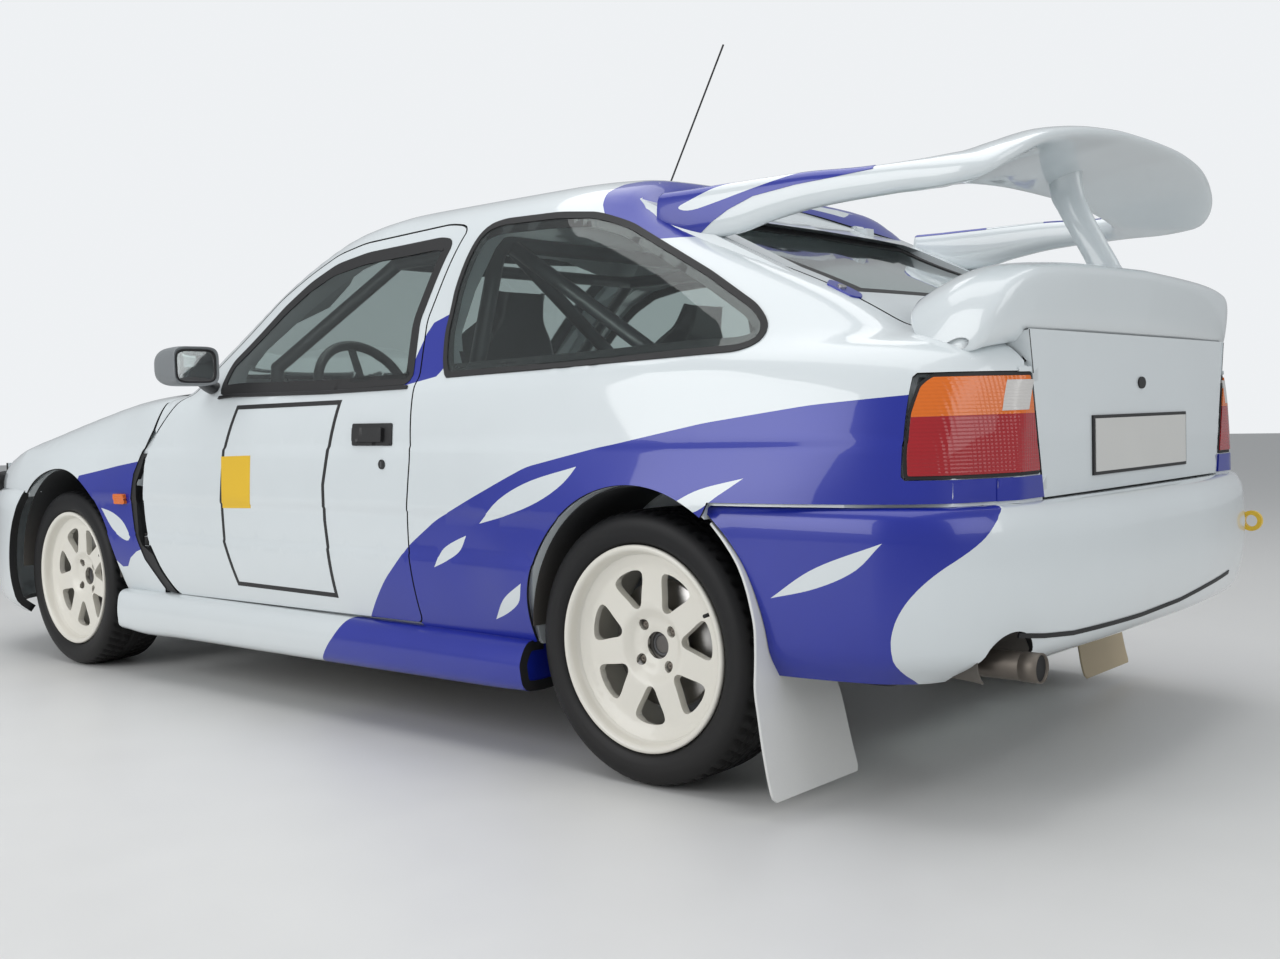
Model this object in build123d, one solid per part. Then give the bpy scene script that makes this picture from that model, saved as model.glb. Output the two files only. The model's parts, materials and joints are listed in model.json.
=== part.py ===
"""Three-door rally hatchback with blistered arches and a high rear wing.

X points forward, Y to the car's left and Z up, in millimetres. The origin is on the floor
at the centre of the outline, so the nose and the tail are at plus and minus half the length.
Places along the car are written as distances from the rear axle, and from_axle() turns them
into X.
"""
from build123d import *
from functools import lru_cache
import math
import os

# Overall sizes
WHEELBASE = 2551.0
FRONT_OVERHANG = 833.0
REAR_OVERHANG = 827.0
TRACK_FRONT = 1465.0
TRACK_REAR = 1488.0
REAR_AXLE_X = -(WHEELBASE + FRONT_OVERHANG + REAR_OVERHANG) / 2 + REAR_OVERHANG

# Wheels and tyres
TYRE_RADIUS = 295.0
TYRE_WIDTH = 208.0
RIM_RADIUS = 221.5
RIM_WIDTH = 198.0
BARREL_RADIUS = 204.0
BARREL_WALL = 9.0
SPOKE_FACE_DEPTH = 34.0
SPOKE_DISC_THICKNESS = 22.0
HUB_BORE = 29.0
BOLT_CIRCLE = 108.0
BOLT_COUNT = 4
WINDOW_COUNT = 7
DISC_RADIUS = 139.0
DISC_THICKNESS = 24.0
DISC_SHIFT = 2.0

# Body walls and gaps
PANEL_GAP = 6.0
SKIN = 18.0
DOOR_STEP = 20.0
DOOR_THICKNESS = 105.0
PILLAR_WALL = 42.0
PANEL_WALL = 30.0
LAMP_DEPTH = 45.0
LAMP_FRONT = 600.0
GLASS_SEAT = 4.0
GLASS_THICKNESS = 5.0
SEAT_CLEARANCE = 0.3

# Heights of the body's long lines
FLOOR_Z = 195.0
FLOOR_THICKNESS = 40.0
UNDER_Z = 190.0
SILL_Z = 285.0
LOW_Z = 460.0
SIDE_Z = 600.0
SHOULDER_Z = 724.0
BUMPER_TOP_Z = 606.0
NOSE_STEP = 38.0
REAR_FLOOR_Z = 272.0

# Wheel arches
ARCH_RADIUS_REAR = 326.0
ARCH_RADIUS_FRONT = 345.0
ARCH_RISE = 22.0
ARCH_INNER_FRONT = 462.0
ARCH_INNER_REAR = 562.0

# Steering: the kingpin line leans in from the lower ball joint to the strut's top
KINGPIN_LOW = (690.0, 170.0)
KINGPIN_TOP = (545.0, 740.0)

# Body sections, from the tail to the nose. Columns: place from the rear axle, half-widths at
# the underside, sill, low, side, shoulder and belt lines, belt height, crown height.
BODY_SECTIONS = (
    (-745, 520, 560, 590, 600, 590, 540, 862, 925),
    (-680, 640, 690, 725, 735, 725, 655, 880, 962),
    (-500, 700, 770, 812, 818, 806, 735, 900, 988),
    (-330, 720, 800, 846, 850, 828, 762, 908, 996),
    (0, 730, 815, 866, 868, 838, 786, 905, 930),
    (345, 730, 812, 858, 852, 836, 798, 898, 915),
    (560, 725, 805, 836, 838, 836, 802, 890, 905),
    (1960, 725, 800, 832, 836, 832, 788, 872, 905),
    (2206, 700, 800, 850, 852, 828, 765, 852, 930),
    (2551, 690, 790, 868, 868, 822, 735, 812, 885),
    (2896, 680, 770, 850, 848, 798, 700, 760, 825),
    (3150, 620, 700, 775, 778, 745, 640, 712, 762),
    (3300, 500, 560, 640, 655, 640, 560, 672, 705),
)

# Roof sections at one height each. Columns: height, screen centre, screen corner (place,
# half-width), side front (place, half-width), side rear (place, half-width), back corner
# (place, half-width), back centre.
ROOF_SECTIONS = (
    (878, 2090, 1905, 745, 1600, 800, -150, 792, -600, 640, -640),
    (1010, 1885, 1735, 700, 1440, 748, 24, 742, -388, 604, -440),
    (1290, 1425, 1290, 596, 1100, 632, 400, 628, 185, 584, 150),
    (1342, 1322, 1170, 520, 1010, 560, 440, 556, 215, 480, 170),
    (1376, 1150, 1040, 350, 960, 400, 480, 392, 370, 330, 330),
    (1397, 960, 910, 140, 880, 180, 620, 180, 590, 140, 570),
)

# Door outline and door window in the side view, as places from the rear axle and heights
DOOR_OUTLINE = (
    (1892, 285), (1960, 355), (2022, 460), (2031, 570), (2016, 690), (1960, 769), (1858, 872),
    (1700, 990), (1482, 1151), (1361, 1210), (1254, 1256), (1135, 1276), (790, 1290),
    (712, 1276), (778, 1040), (744, 880), (737, 707), (756, 570), (756, 470), (735, 292),
)
DOOR_WINDOW = (
    (1648, 881), (1560, 886), (1110, 881), (772, 885), (808, 1040), (752, 1240), (800, 1252),
    (1100, 1242), (1230, 1222), (1335, 1180), (1440, 1118), (1640, 968),
)
QUARTER_WINDOW = (
    (650, 898), (684, 1000), (684, 1115), (660, 1222), (632, 1262), (580, 1272), (393, 1266),
    (265, 1252), (169, 1220), (-90, 1084), (-228, 1002), (-268, 962), (-262, 930), (-225, 918),
    (143, 908),
)
HALF_SCREEN = ((712, 935), (572, 1288), (430, 1322))
HALF_BACKLIGHT = ((530, 1032), (494, 1238), (460, 1254))

# Tailgate shut line on the side, from the roof to the deck
TAILGATE_SHUT = ((150, 1304), (89, 1266), (0, 1220), (-133, 1138), (-236, 1074), (-404, 990))
TAILGATE_HALF_WIDTH = 566.0
DECK_HALF_WIDTH = 530.0
TAILGATE_DEPTH = 75.0
TAIL_PANEL_HALF_WIDTHS = (490.0, 548.0)
TAIL_PANEL_THICKNESS = 48.0

# Bonnet
BONNET_REAR = 2130.0
BONNET_FRONT = 3262.0
BONNET_HALF_WIDTHS = (640.0, 560.0)
BONNET_THICKNESS = 24.0

# Hinge lines
DOOR_HINGE = (2046.0, 825.0)
DOOR_HINGE_HEIGHTS = (440.0, 575.0)
BONNET_HINGE = (2144.0, 872.0)
TAILGATE_HINGE = (153.0, 1290.0)
TAILGATE_HINGE_Y = 300.0
HINGE_PIN = 5.0
HINGE_BORE = 5.3
HINGE_BARREL = 10.0
COWL_WELL = (2028.0, 2124.0)
COWL_WELL_Z = 862.0

# Bumpers: plan outlines, one row a height
REAR_BUMPER_PLANS = (
    (262, -300, 800, -520, 770, -610, 700, -650, 500, -665),
    (330, -300, 838, -560, 812, -690, 745, -770, 540, -800),
    (470, -300, 850, -570, 828, -700, 760, -790, 560, -827),
    (560, -300, 850, -570, 828, -700, 758, -786, 560, -822),
    (606, -300, 843, -565, 818, -690, 745, -768, 555, -795),
)
FRONT_BUMPER_PLANS = (
    (165, 2850, 800, 3060, 760, 3230, 640, 3310, 420, 3330),
    (215, 2850, 850, 3060, 812, 3250, 690, 3345, 440, 3376),
    (330, 2850, 860, 3060, 822, 3255, 698, 3350, 450, 3384),
    (520, 2850, 858, 3060, 818, 3245, 690, 3338, 450, 3372),
    (575, 2850, 850, 3060, 805, 3220, 680, 3310, 440, 3342),
)
BUMPER_WALL = 34.0

# Rear wing
WING_HALF_SPAN = 600.0
WING_TRAIL_X = -785.0
WING_TRAIL_Z = 1340.0
WING_SWEEP = 97.0
WING_DROOP = 71.0
WING_CURVE = 3.2
WING_LEAD_X = -500.0
WING_LEAD_DROP = 58.0
WING_ARM_THICKNESS = 46.0
WING_ARM = (
    (120, 1299), (81, 1294), (-285, 1287), (-460, 1276), (-688, 1270), (-696, 1189),
    (-509, 1217), (-400, 1221), (-300, 1214), (-211, 1199), (-160, 1168), (-160, 1128),
)

# Tow eyes. Columns: place where the stem starts on the body, tip, Y, height.
TOW_EYES = ((3240.3, 3366, -560, 245), (-672.3, -812, -640, 480))
TOW_STEM = 9.0

# Cage
CAGE_TUBE = 21.0


def from_axle(place):
    """X of a place given as a distance forward of the rear axle."""
    return REAR_AXLE_X + place


def mirrored(solid):
    """The same piece on the other side of the car."""
    return mirror(solid, about=Plane.XZ)


def pair(solid):
    """A piece and its mirror image in one node."""
    return Compound(children=[*solids_of(solid), *solids_of(mirrored(solid))])


def solids_of(shape):
    """The separate solids of a shape."""
    return list(shape.solids())


def ring_loft(rings):
    """A ruled solid through closed rings of points with as many points each."""
    return Solid.make_loft([Wire.make_polygon(ring) for ring in rings], ruled=True)


def side_prism(outline, y_from, y_to):
    """An outline of (place, height) in the side view, carried from one Y to another."""
    face = Face(Wire.make_polygon([(from_axle(x), y_from, z) for x, z in outline]))
    return Solid.extrude(face, Vector(0, y_to - y_from, 0))


def front_prism(outline, from_place, to_place):
    """An outline of (y, z) in the front view, carried along the car."""
    start = from_axle(from_place)
    face = Face(Wire.make_polygon([(start, y, z) for y, z in outline]))
    return Solid.extrude(face, Vector(to_place - from_place, 0, 0))


def plan_prism(outline, z_from, z_to):
    """An outline of (place, y) in the plan view, carried from one height to another."""
    face = Face(Wire.make_polygon([(from_axle(x), y, z_from) for x, y in outline]))
    return Solid.extrude(face, Vector(0, 0, z_to - z_from))


def block(x_from, x_to, y_from, y_to, z_from, z_to):
    """A box between two places, two Y values and two heights."""
    return Pos(
        from_axle((x_from + x_to) / 2), (y_from + y_to) / 2, (z_from + z_to) / 2
    ) * Box(x_to - x_from, y_to - y_from, z_to - z_from)


def offset_outline(outline, distance):
    """An outline moved outwards by a distance, or inwards where it is negative."""
    wire = Wire.make_polygon([(x, z) for x, z in outline])
    moved = wire.offset_2d(distance, kind=Kind.INTERSECTION)
    return [(point.X, point.Y) for point in outline_points(moved)]


def outline_points(wire):
    """The corners of a closed wire in order."""
    points = []
    for edge in wire.order_edges():
        points.append(edge @ 0)
    return points


def rod(start, end, radius):
    """A round bar between two points."""
    a = Vector(*start)
    b = Vector(*end)
    plane = Plane(origin=a, z_dir=b - a)
    return plane * Pos(0, 0, (b - a).length / 2) * Cylinder(radius, (b - a).length)


def axle_cylinder(place, z, radius, y_from, y_to):
    """A cylinder about a line across the car."""
    middle = Pos(from_axle(place), (y_from + y_to) / 2, z)
    return middle * Rot(90, 0, 0) * Cylinder(radius, abs(y_to - y_from))


def bent_tube(points, bend, radius):
    """A round bar along straight runs with rounded corners."""
    path = FilletPolyline(*points, radius=bend)
    return sweep(Plane(origin=path @ 0, z_dir=path % 0) * Circle(radius), path=path)


@lru_cache
def body_loft(inset):
    """The body below the belt, with its skin moved in by inset."""
    last = len(BODY_SECTIONS) - 1
    rings = []
    for row, (x, under, sill, low, side, shoulder, belt, belt_z, crown_z) in enumerate(BODY_SECTIONS):
        shift = inset if row == 0 else -inset if row == last else 0
        half = (
            (under - inset, UNDER_Z + inset),
            (sill - inset, SILL_Z + inset / 2),
            (low - inset, LOW_Z),
            (side - inset, min(SIDE_Z, belt_z - 2 * NOSE_STEP)),
            (shoulder - inset, min(SHOULDER_Z, belt_z - NOSE_STEP)),
            (belt - inset * 0.8, belt_z - inset * 0.8),
            ((belt - inset) * 0.72, belt_z + (crown_z - belt_z) * 0.62 - inset),
        )
        left = [(from_axle(x) + shift, y, z) for y, z in half]
        crown = [(from_axle(x) + shift, 0, crown_z - inset)]
        right = [(px, -py, pz) for px, py, pz in reversed(left)]
        rings.append(left + crown + right + [(from_axle(x) + shift, 0, UNDER_Z + inset)])
    return ring_loft(rings)


@lru_cache
def roof_loft(inset):
    """Roof, pillars and windows above the belt, with the skin moved in by inset."""
    rings = []
    top_row = len(ROOF_SECTIONS) - 1
    for row, values in enumerate(ROOF_SECTIONS):
        z, screen, corner, corner_y, front, front_y, rear, rear_y, back_corner, back_y, back = values
        rise = inset * (0.85 if row > 1 else 0)
        draw = inset * (1.0 if row < 3 else 0.6)
        half = (
            ((screen * 3 + corner) / 4 - draw * 1.6, corner_y * 0.5),
            (corner - draw * 1.6, corner_y - draw),
            (front - draw, front_y - draw),
            (rear + draw, rear_y - draw),
            (back_corner + draw * 1.6, back_y - draw),
            ((back * 3 + back_corner) / 4 + draw * 1.6, back_y * 0.5),
        )
        height = z - rise if row < top_row else z - inset
        if row == 0:
            height = z - 2.2 * inset
        left = [(from_axle(x), y, height) for x, y in half]
        right = [(px, -py, pz) for px, py, pz in reversed(left)]
        tail = [(from_axle(back + draw * 1.6), 0, height)]
        nose = [(from_axle(screen - draw * 1.6), 0, height)]
        rings.append(nose + left + tail + right)
    return ring_loft(rings)


@lru_cache
def body_form(inset):
    """The closed form of the whole body, with its skin moved in by inset."""
    return body_loft(inset) + roof_loft(inset)


def plan_loft(rows, inset, nose_sign, drop=0.0):
    """A bumper's closed form from plan outlines: place and half-width pairs, one row a height."""
    rings = []
    for z, start, side, bend, bend_y, corner, corner_y, face, face_y, centre in rows:
        shift = inset * nose_sign
        half = (
            (start, side - inset),
            (bend, bend_y - inset),
            (corner - shift * 0.7, corner_y - inset * 0.7),
            (face - shift, face_y),
            (centre - shift, 150),
        )
        left = [(from_axle(x), y, z + drop) for x, y in half]
        right = [(px, -py, pz) for px, py, pz in reversed(left)]
        rings.append(left + right)
    return ring_loft(rings)


@lru_cache
def cabin_space():
    """The hollow inside: cabin with its roof, boot, and the engine bay open below."""
    cabin = block(400, 1900, -(832 - DOOR_THICKNESS), 832 - DOOR_THICKNESS, FLOOR_Z + 40, 960)
    rear_seat = block(-330, 420, -535, 535, REAR_FLOOR_Z + 28, 890)
    boot = block(-648, -320, -530, 530, 330, 890)
    boot += block(-745 + TAIL_PANEL_THICKNESS - 3, -320, -470, 470, 650, 890)
    shelf = block(-560, 420, -700, 700, 700, 1000)
    lower = (cabin + rear_seat + boot + shelf) & (body_form(PANEL_WALL) + block(-330, 2000, -740, 740, 100, 600))
    return lower + roof_loft(PILLAR_WALL)


def engine_bay():
    """The bay under the bonnet, open below the nose."""
    bay = block(2040, 3190, -440, 440, 120, 700)
    upper = block(2040, 3120, -560, 560, 670, 790)
    return bay + (upper & body_loft(BONNET_THICKNESS))


@lru_cache
def wheel_wells():
    """The four arches with the room behind them."""
    wells = []
    for place, axle_z, radius, inner in (
        (0, TYRE_RADIUS, ARCH_RADIUS_REAR, ARCH_INNER_REAR),
        (WHEELBASE, TYRE_RADIUS, ARCH_RADIUS_FRONT, ARCH_INNER_FRONT),
    ):
        for side in (1, -1):
            centre = axle_z + ARCH_RISE
            wells.append(axle_cylinder(place, centre, radius, side * inner, side * 900))
            low = block(place - radius, place + radius, min(side * inner, side * 900),
                        max(side * inner, side * 900), 100, centre)
            wells.append(low)
    return wells


def tailgate_region(gap):
    """The space of the tailgate, wider by a gap where the body is cut."""
    shut = [(x + gap * 0.5, z - gap - TAILGATE_DEPTH) for x, z in TAILGATE_SHUT]
    outline = [(TAILGATE_SHUT[0][0] + gap, 1440), *shut, (-900, 880 - gap - TAILGATE_DEPTH), (-900, 1440)]
    half = [(300, TAILGATE_HALF_WIDTH + gap), (-400, TAILGATE_HALF_WIDTH + gap), (-900, DECK_HALF_WIDTH + gap)]
    plan = plan_prism([*half, *[(x, -y) for x, y in reversed(half)]], 700, 1500)
    upper = side_prism(outline, -700, 700) & plan
    low, high = TAIL_PANEL_HALF_WIDTHS
    bottom = BUMPER_TOP_Z + PANEL_GAP - gap
    panel = [(high + gap, 912), (low + gap, bottom), (-low - gap, bottom), (-high - gap, 912)]
    lower = front_prism(panel, -900, -745 + TAIL_PANEL_THICKNESS + gap)
    return upper + lower


def bonnet_region(gap):
    """The space of the bonnet in the plan view."""
    rear, front = BONNET_HALF_WIDTHS
    outline = [
        (BONNET_REAR - gap, rear + gap), (BONNET_FRONT + gap, front + gap),
        (BONNET_FRONT + gap, -front - gap), (BONNET_REAR - gap, -rear - gap),
    ]
    return plan_prism(outline, 640, 1100)


def rear_bumper_region(gap):
    """Side-view space behind the rear arch that the bumper fills."""
    outline = [(-196 + gap, 584), (-196 + gap, BUMPER_TOP_Z + gap), (-1000, BUMPER_TOP_Z + gap),
               (-1000, 100), (-196 + gap, 100)]
    tub = block(-672, -150, -545, 545, 305, 700) + block(-672, -560, -660, 660, 420, 540)
    return side_prism(outline, -1000, 1000) - tub


def front_bumper_region(gap):
    """Side-view space before the front arch that the bumper fills."""
    outline = [(WHEELBASE + 240 - gap, 575 + gap), (3600, 575 + gap), (3600, 100),
               (WHEELBASE + 240 - gap, 100)]
    return side_prism(outline, -1000, 1000) - block(2700, 3240, -600, 600, 235, 490)


def wing_region(gap):
    """Side-view space of the left front wing, from its vent slot to the lamp."""
    outline = [(2076 - gap, 240), (2076 - gap, 600), (2038 - gap, 700), (1972 - gap, 779),
               (1880 - gap, 1000), (3195 + gap, 1000), (3195 + gap, 240)]
    return side_prism(outline, 560 - gap, 1000)


def wing_panel():
    """Left front wing: one skin over the arch, the engine bay's edge and the slot."""
    panel = (body_form(0) - body_form(PANEL_WALL)) & wing_region(0)
    panel = panel - bonnet_region(PANEL_GAP) - block(WHEELBASE + 240, 3600, 400, 1000, 100, 575)
    panel = panel - block(*COWL_WELL, -650, 650, COWL_WELL_Z - 20, 1000)
    for well in wheel_wells():
        panel = panel - well
    return panel - headlamp_space(SEAT_CLEARANCE)


def headlamp_space(gap):
    """The left headlamp's place, between the bonnet, the wing and the bumper."""
    outline = [(3350, 340 - gap), (3120 - gap, 440 - gap), (3120 - gap, 800), (3350, 800)]
    return plan_prism(outline, 579 - gap, 636 + gap)


def door_panel():
    """Left door: outer skin, with the inner box stepped in from its edges."""
    skin_space = side_prism(DOOR_OUTLINE, 400, 1000)
    box_space = side_prism(offset_outline(DOOR_OUTLINE, -DOOR_STEP), 400, 1000)
    skin = (body_form(0) - body_form(SKIN)) & skin_space
    hollow = block(600, 2100, -1, 832 - DOOR_THICKNESS, 100, 960) & body_form(PANEL_WALL)
    hollow += block(600, 2100, -1, 832 - DOOR_THICKNESS, 100, 600) + roof_loft(PILLAR_WALL)
    inner = (body_form(SKIN) - hollow) & box_space
    window = side_prism(DOOR_WINDOW, 400, 1000)
    panel = skin + inner - window
    x, y = from_axle(DOOR_HINGE[0]), DOOR_HINGE[1]
    for z in DOOR_HINGE_HEIGHTS:
        panel += block(1990, DOOR_HINGE[0], y - 8, y + 3, z - 13, z + 13)
        panel += rod((x, y, z - 15), (x, y, z + 15), HINGE_BARREL)
        panel -= rod((x, y, z - 20), (x, y, z + 20), HINGE_BORE)
    return panel


def glass_pane(prism):
    """A pane that follows the body's form inside a window's outline."""
    return (body_form(GLASS_SEAT) - body_form(GLASS_SEAT + GLASS_THICKNESS)) & prism


def body_shell():
    """Unibody: roof, pillars, rear quarters, sills, cowl and bulkheads."""
    cuts = [cabin_space(), engine_bay(), *wheel_wells()]
    cuts.append(tailgate_region(PANEL_GAP))
    cuts.append(bonnet_region(PANEL_GAP))
    cuts.append(rear_bumper_region(0))
    cuts.append(front_bumper_region(0))
    for side in (1, -1):
        skin_cut = side_prism(offset_outline(DOOR_OUTLINE, PANEL_GAP), 560, 1000)
        cuts.append(skin_cut if side == 1 else mirrored(skin_cut))
        quarter = side_prism(QUARTER_WINDOW, 400, 1000)
        cuts.append(quarter if side == 1 else mirrored(quarter))
        slot = side_prism([(2000, 292), (2076, 330), (2076, 600), (2034, 706), (1990, 600)], 800, 1000)
        wing = (wing_region(SEAT_CLEARANCE) - body_form(PANEL_WALL + SEAT_CLEARANCE)) + slot
        cuts.append(wing if side == 1 else mirrored(wing))
        lamp = headlamp_space(SEAT_CLEARANCE)
        cuts.append(lamp if side == 1 else mirrored(lamp))
        lamp = tail_lamp_space(SEAT_CLEARANCE) - body_form(LAMP_DEPTH + SEAT_CLEARANCE)
        cuts.append(lamp if side == 1 else mirrored(lamp))
    screen = [*HALF_SCREEN, *[(-y, z) for y, z in reversed(HALF_SCREEN)]]
    cuts.append(front_prism(screen, 1250, 2200))
    cuts.append(block(-900, 3600, -1000, 1000, 100, FLOOR_Z + FLOOR_THICKNESS))
    cuts.append(block(-900, 400, -1000, 1000, 100, REAR_FLOOR_Z))
    cuts.append(block(*COWL_WELL, -650, 650, COWL_WELL_Z, 1000))
    for side in (1, -1):
        cuts.append(tailgate_pin(side, 14, 30))
    shell = body_form(0).cut(*cuts)
    for side in (1, -1):
        shell += tailgate_hinge(side)
        shell += bonnet_pin(side)
        bracket = door_hinge_bracket()
        shell += bracket if side == 1 else mirrored(bracket)
    return shell


def tailgate_pin(side, radius, half_length):
    """A round bar on the tailgate's hinge line, one side of the roof."""
    x, z = from_axle(TAILGATE_HINGE[0]), TAILGATE_HINGE[1]
    y = side * TAILGATE_HINGE_Y
    return rod((x, y - half_length, z), (x, y + half_length, z), radius)


def tailgate_hinge(side):
    """Pin of the tailgate between its two ears on the roof's rear edge."""
    hinge = tailgate_pin(side, HINGE_PIN, 27)
    place, z = TAILGATE_HINGE
    for shift in (-23.5, 23.5):
        y = side * TAILGATE_HINGE_Y + shift
        hinge += block(place - 3, place + 30, y - 3.5, y + 3.5, z - 22, z + 7)
    return hinge


def bonnet_pin(side):
    """Bonnet hinge pin on its post at the end of the cowl well."""
    place, z = BONNET_HINGE
    post = block(2100, place + 12, side * 577 - 9, side * 577 + 9, 790, 840)
    post += block(place - 5.5, place + 5.5, side * 577 - 9, side * 577 + 9, 790, z + 5.5)
    return post + rod((from_axle(place), side * 545, z), (from_axle(place), side * 580, z), HINGE_PIN)


def door_hinge_bracket():
    """Left door's two hinge pins, each held between two ears in the vent slot."""
    x, y = from_axle(DOOR_HINGE[0]), DOOR_HINGE[1]
    parts = None
    for z in DOOR_HINGE_HEIGHTS:
        ears = rod((x, y, z - 24), (x, y, z + 24), HINGE_PIN)
        for low in (z - 24, z + 17):
            ears += block(DOOR_HINGE[0] - 8, DOOR_HINGE[0] + 8, 788, y + 6, low, low + 7)
        parts = ears if parts is None else parts + ears
    return parts


def floor_pan():
    """The flat underbody with its two long rails and the tunnel, clear of the arches."""
    top = FLOOR_Z + FLOOR_THICKNESS - SEAT_CLEARANCE
    pan = block(405, 1985, -700, 700, FLOOR_Z, top) + block(405, 1895, -128, 128, FLOOR_Z, top + 62)
    pan -= block(300, 2100, -108, 108, 100, top + 42)
    for side in (1, -1):
        pan += block(420, 1985, side * 420 - 45, side * 420 + 45, FLOOR_Z - 22, FLOOR_Z + 1)
    for well in wheel_wells():
        pan = pan - well
    return pan


def front_bumper():
    """Front bumper with its intake, deep lip and lamp pods."""
    outer = plan_loft(FRONT_BUMPER_PLANS, 0, 1)
    inner = plan_loft(FRONT_BUMPER_PLANS, BUMPER_WALL, 1)
    bumper = outer - inner - front_prism([(-330, 265), (330, 265), (330, 420), (-330, 420)], 3100, 3500)
    bumper -= tow_stem(0, SEAT_CLEARANCE)
    for side in (1, -1):
        bumper -= axle_cylinder(WHEELBASE, TYRE_RADIUS + ARCH_RISE, ARCH_RADIUS_FRONT, side * 400, side * 900)
        duct = [(side * 400, 300), (side * 560, 300), (side * 560, 400), (side * 400, 400)]
        bumper -= front_prism(duct, 3100, 3500)
    return bumper - block(2700, 3300, -760, 760, 100, 170)


def front_grille():
    """Bars across the main intake, carried by two side posts."""
    grille = None
    for z in (285, 312, 340, 368, 396):
        bar = block(3318, 3344, -329.7, 329.7, z - 3, z + 3)
        grille = bar if grille is None else grille + bar
    for y in (-326, -110, 110, 326):
        grille += block(3318, 3336, y - 3.7, y + 3.7, 265.3, 419.7)
    return grille


def rear_bumper():
    """Rear bumper wrapped round the tail, open in front and below, with the pipe's recess."""
    outer = plan_loft(REAR_BUMPER_PLANS, 0, -1)
    inner = plan_loft(REAR_BUMPER_PLANS, BUMPER_WALL, -1)
    arch = axle_cylinder(0, TYRE_RADIUS + ARCH_RISE, ARCH_RADIUS_REAR + 6, -900, 900)
    top = block(-700, -190, -560, 560, 500, 620)
    recess = rod((from_axle(-540), 640, 312), (from_axle(-860), 640, 312), 62)
    return outer - inner - arch - top - recess - tow_stem(1, SEAT_CLEARANCE)


def tow_stem(end, gap):
    """The round stem of a tow eye, 0 in front and 1 behind."""
    start, tip, y, z = TOW_EYES[end]
    direction = 1 if tip > start else -1
    return rod((from_axle(start), y, z), (from_axle(tip - direction * 44), y, z), TOW_STEM + gap)


def side_skirt():
    """Left sill skirt, bulged, and flared before the rear wheel."""
    rings = []
    for place, top_y, bulge_y, low_y, low_z in (
        (338, 842, 866, 846, 168), (520, 838, 862, 836, 160), (800, 834, 856, 828, 156),
        (1900, 834, 854, 824, 146), (2120, 842, 860, 826, 140), (2186, 846, 858, 822, 150),
    ):
        ring = ((700, 193), (700, low_z + 14), (760, low_z), (low_y, low_z), (bulge_y, low_z + 32),
                (bulge_y, 236), (top_y, 277), (790, 277))
        rings.append([(from_axle(place), y, z) for y, z in ring])
    skirt = ring_loft(rings) - body_form(-SEAT_CLEARANCE)
    skirt -= block(-400, 2300, 0, 790, FLOOR_Z - SEAT_CLEARANCE, 300)
    skirt -= axle_cylinder(WHEELBASE, TYRE_RADIUS + ARCH_RISE, ARCH_RADIUS_FRONT + 4, 400, 900)
    return skirt - axle_cylinder(0, TYRE_RADIUS + ARCH_RISE, ARCH_RADIUS_REAR + 4, 400, 900)


def bonnet():
    """Bonnet with two raised louvre vents."""
    lid = (body_loft(0) - body_loft(BONNET_THICKNESS)) & bonnet_region(0)
    for side in (1, -1):
        for step in range(4):
            place = 2560 + step * 62
            lid -= block(place, place + 26, side * 300 - 105, side * 300 + 105, 640, 1000)
        x, z = from_axle(BONNET_HINGE[0]), BONNET_HINGE[1]
        lid += rod((x, side * 549, z), (x, side * 566, z), HINGE_BARREL)
        lid -= rod((x, side * 540, z), (x, side * 567, z), HINGE_BORE)
        lid -= block(BONNET_HINGE[0] - 20, BONNET_HINGE[0] + 18, side * 578 - 11.5, side * 578 + 11.5, 830, z + 13)
    return lid


def tailgate():
    """Tailgate: back window frame, deck and tail panel in one pressing."""
    lid = (body_form(0) - cabin_space()) & tailgate_region(0)
    backlight = [*HALF_BACKLIGHT, *[(-y, z) for y, z in reversed(HALF_BACKLIGHT)]]
    lid = lid - front_prism(backlight, -640, 240)
    place, z = TAILGATE_HINGE
    for side in (1, -1):
        y = side * TAILGATE_HINGE_Y
        lid -= tailgate_pin(side, 14, 32)
        lid += block(place - 40, place, y - 18, y + 18, z - 30, z - 1)
        lid += tailgate_pin(side, HINGE_BARREL, 18)
        lid -= tailgate_pin(side, HINGE_BORE, 26)
    return lid


def back_glass():
    """Heated back window."""
    backlight = [(y - SEAT_CLEARANCE, z) for y, z in HALF_BACKLIGHT]
    outline = [*backlight, *[(-y, z) for y, z in reversed(backlight)]]
    return glass_pane(front_prism(outline, -640, 240))


def windscreen():
    """Windscreen."""
    screen = [(y - SEAT_CLEARANCE, z) for y, z in HALF_SCREEN]
    outline = [*screen, *[(-y, z) for y, z in reversed(screen)]]
    return glass_pane(front_prism(outline, 1250, 2200))


def quarter_glass():
    """Fixed window behind the door."""
    return glass_pane(side_prism(offset_outline(QUARTER_WINDOW, -SEAT_CLEARANCE), 400, 1000))


def door_glass():
    """Door window."""
    return glass_pane(side_prism(offset_outline(DOOR_WINDOW, -SEAT_CLEARANCE), 400, 1000))


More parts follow.
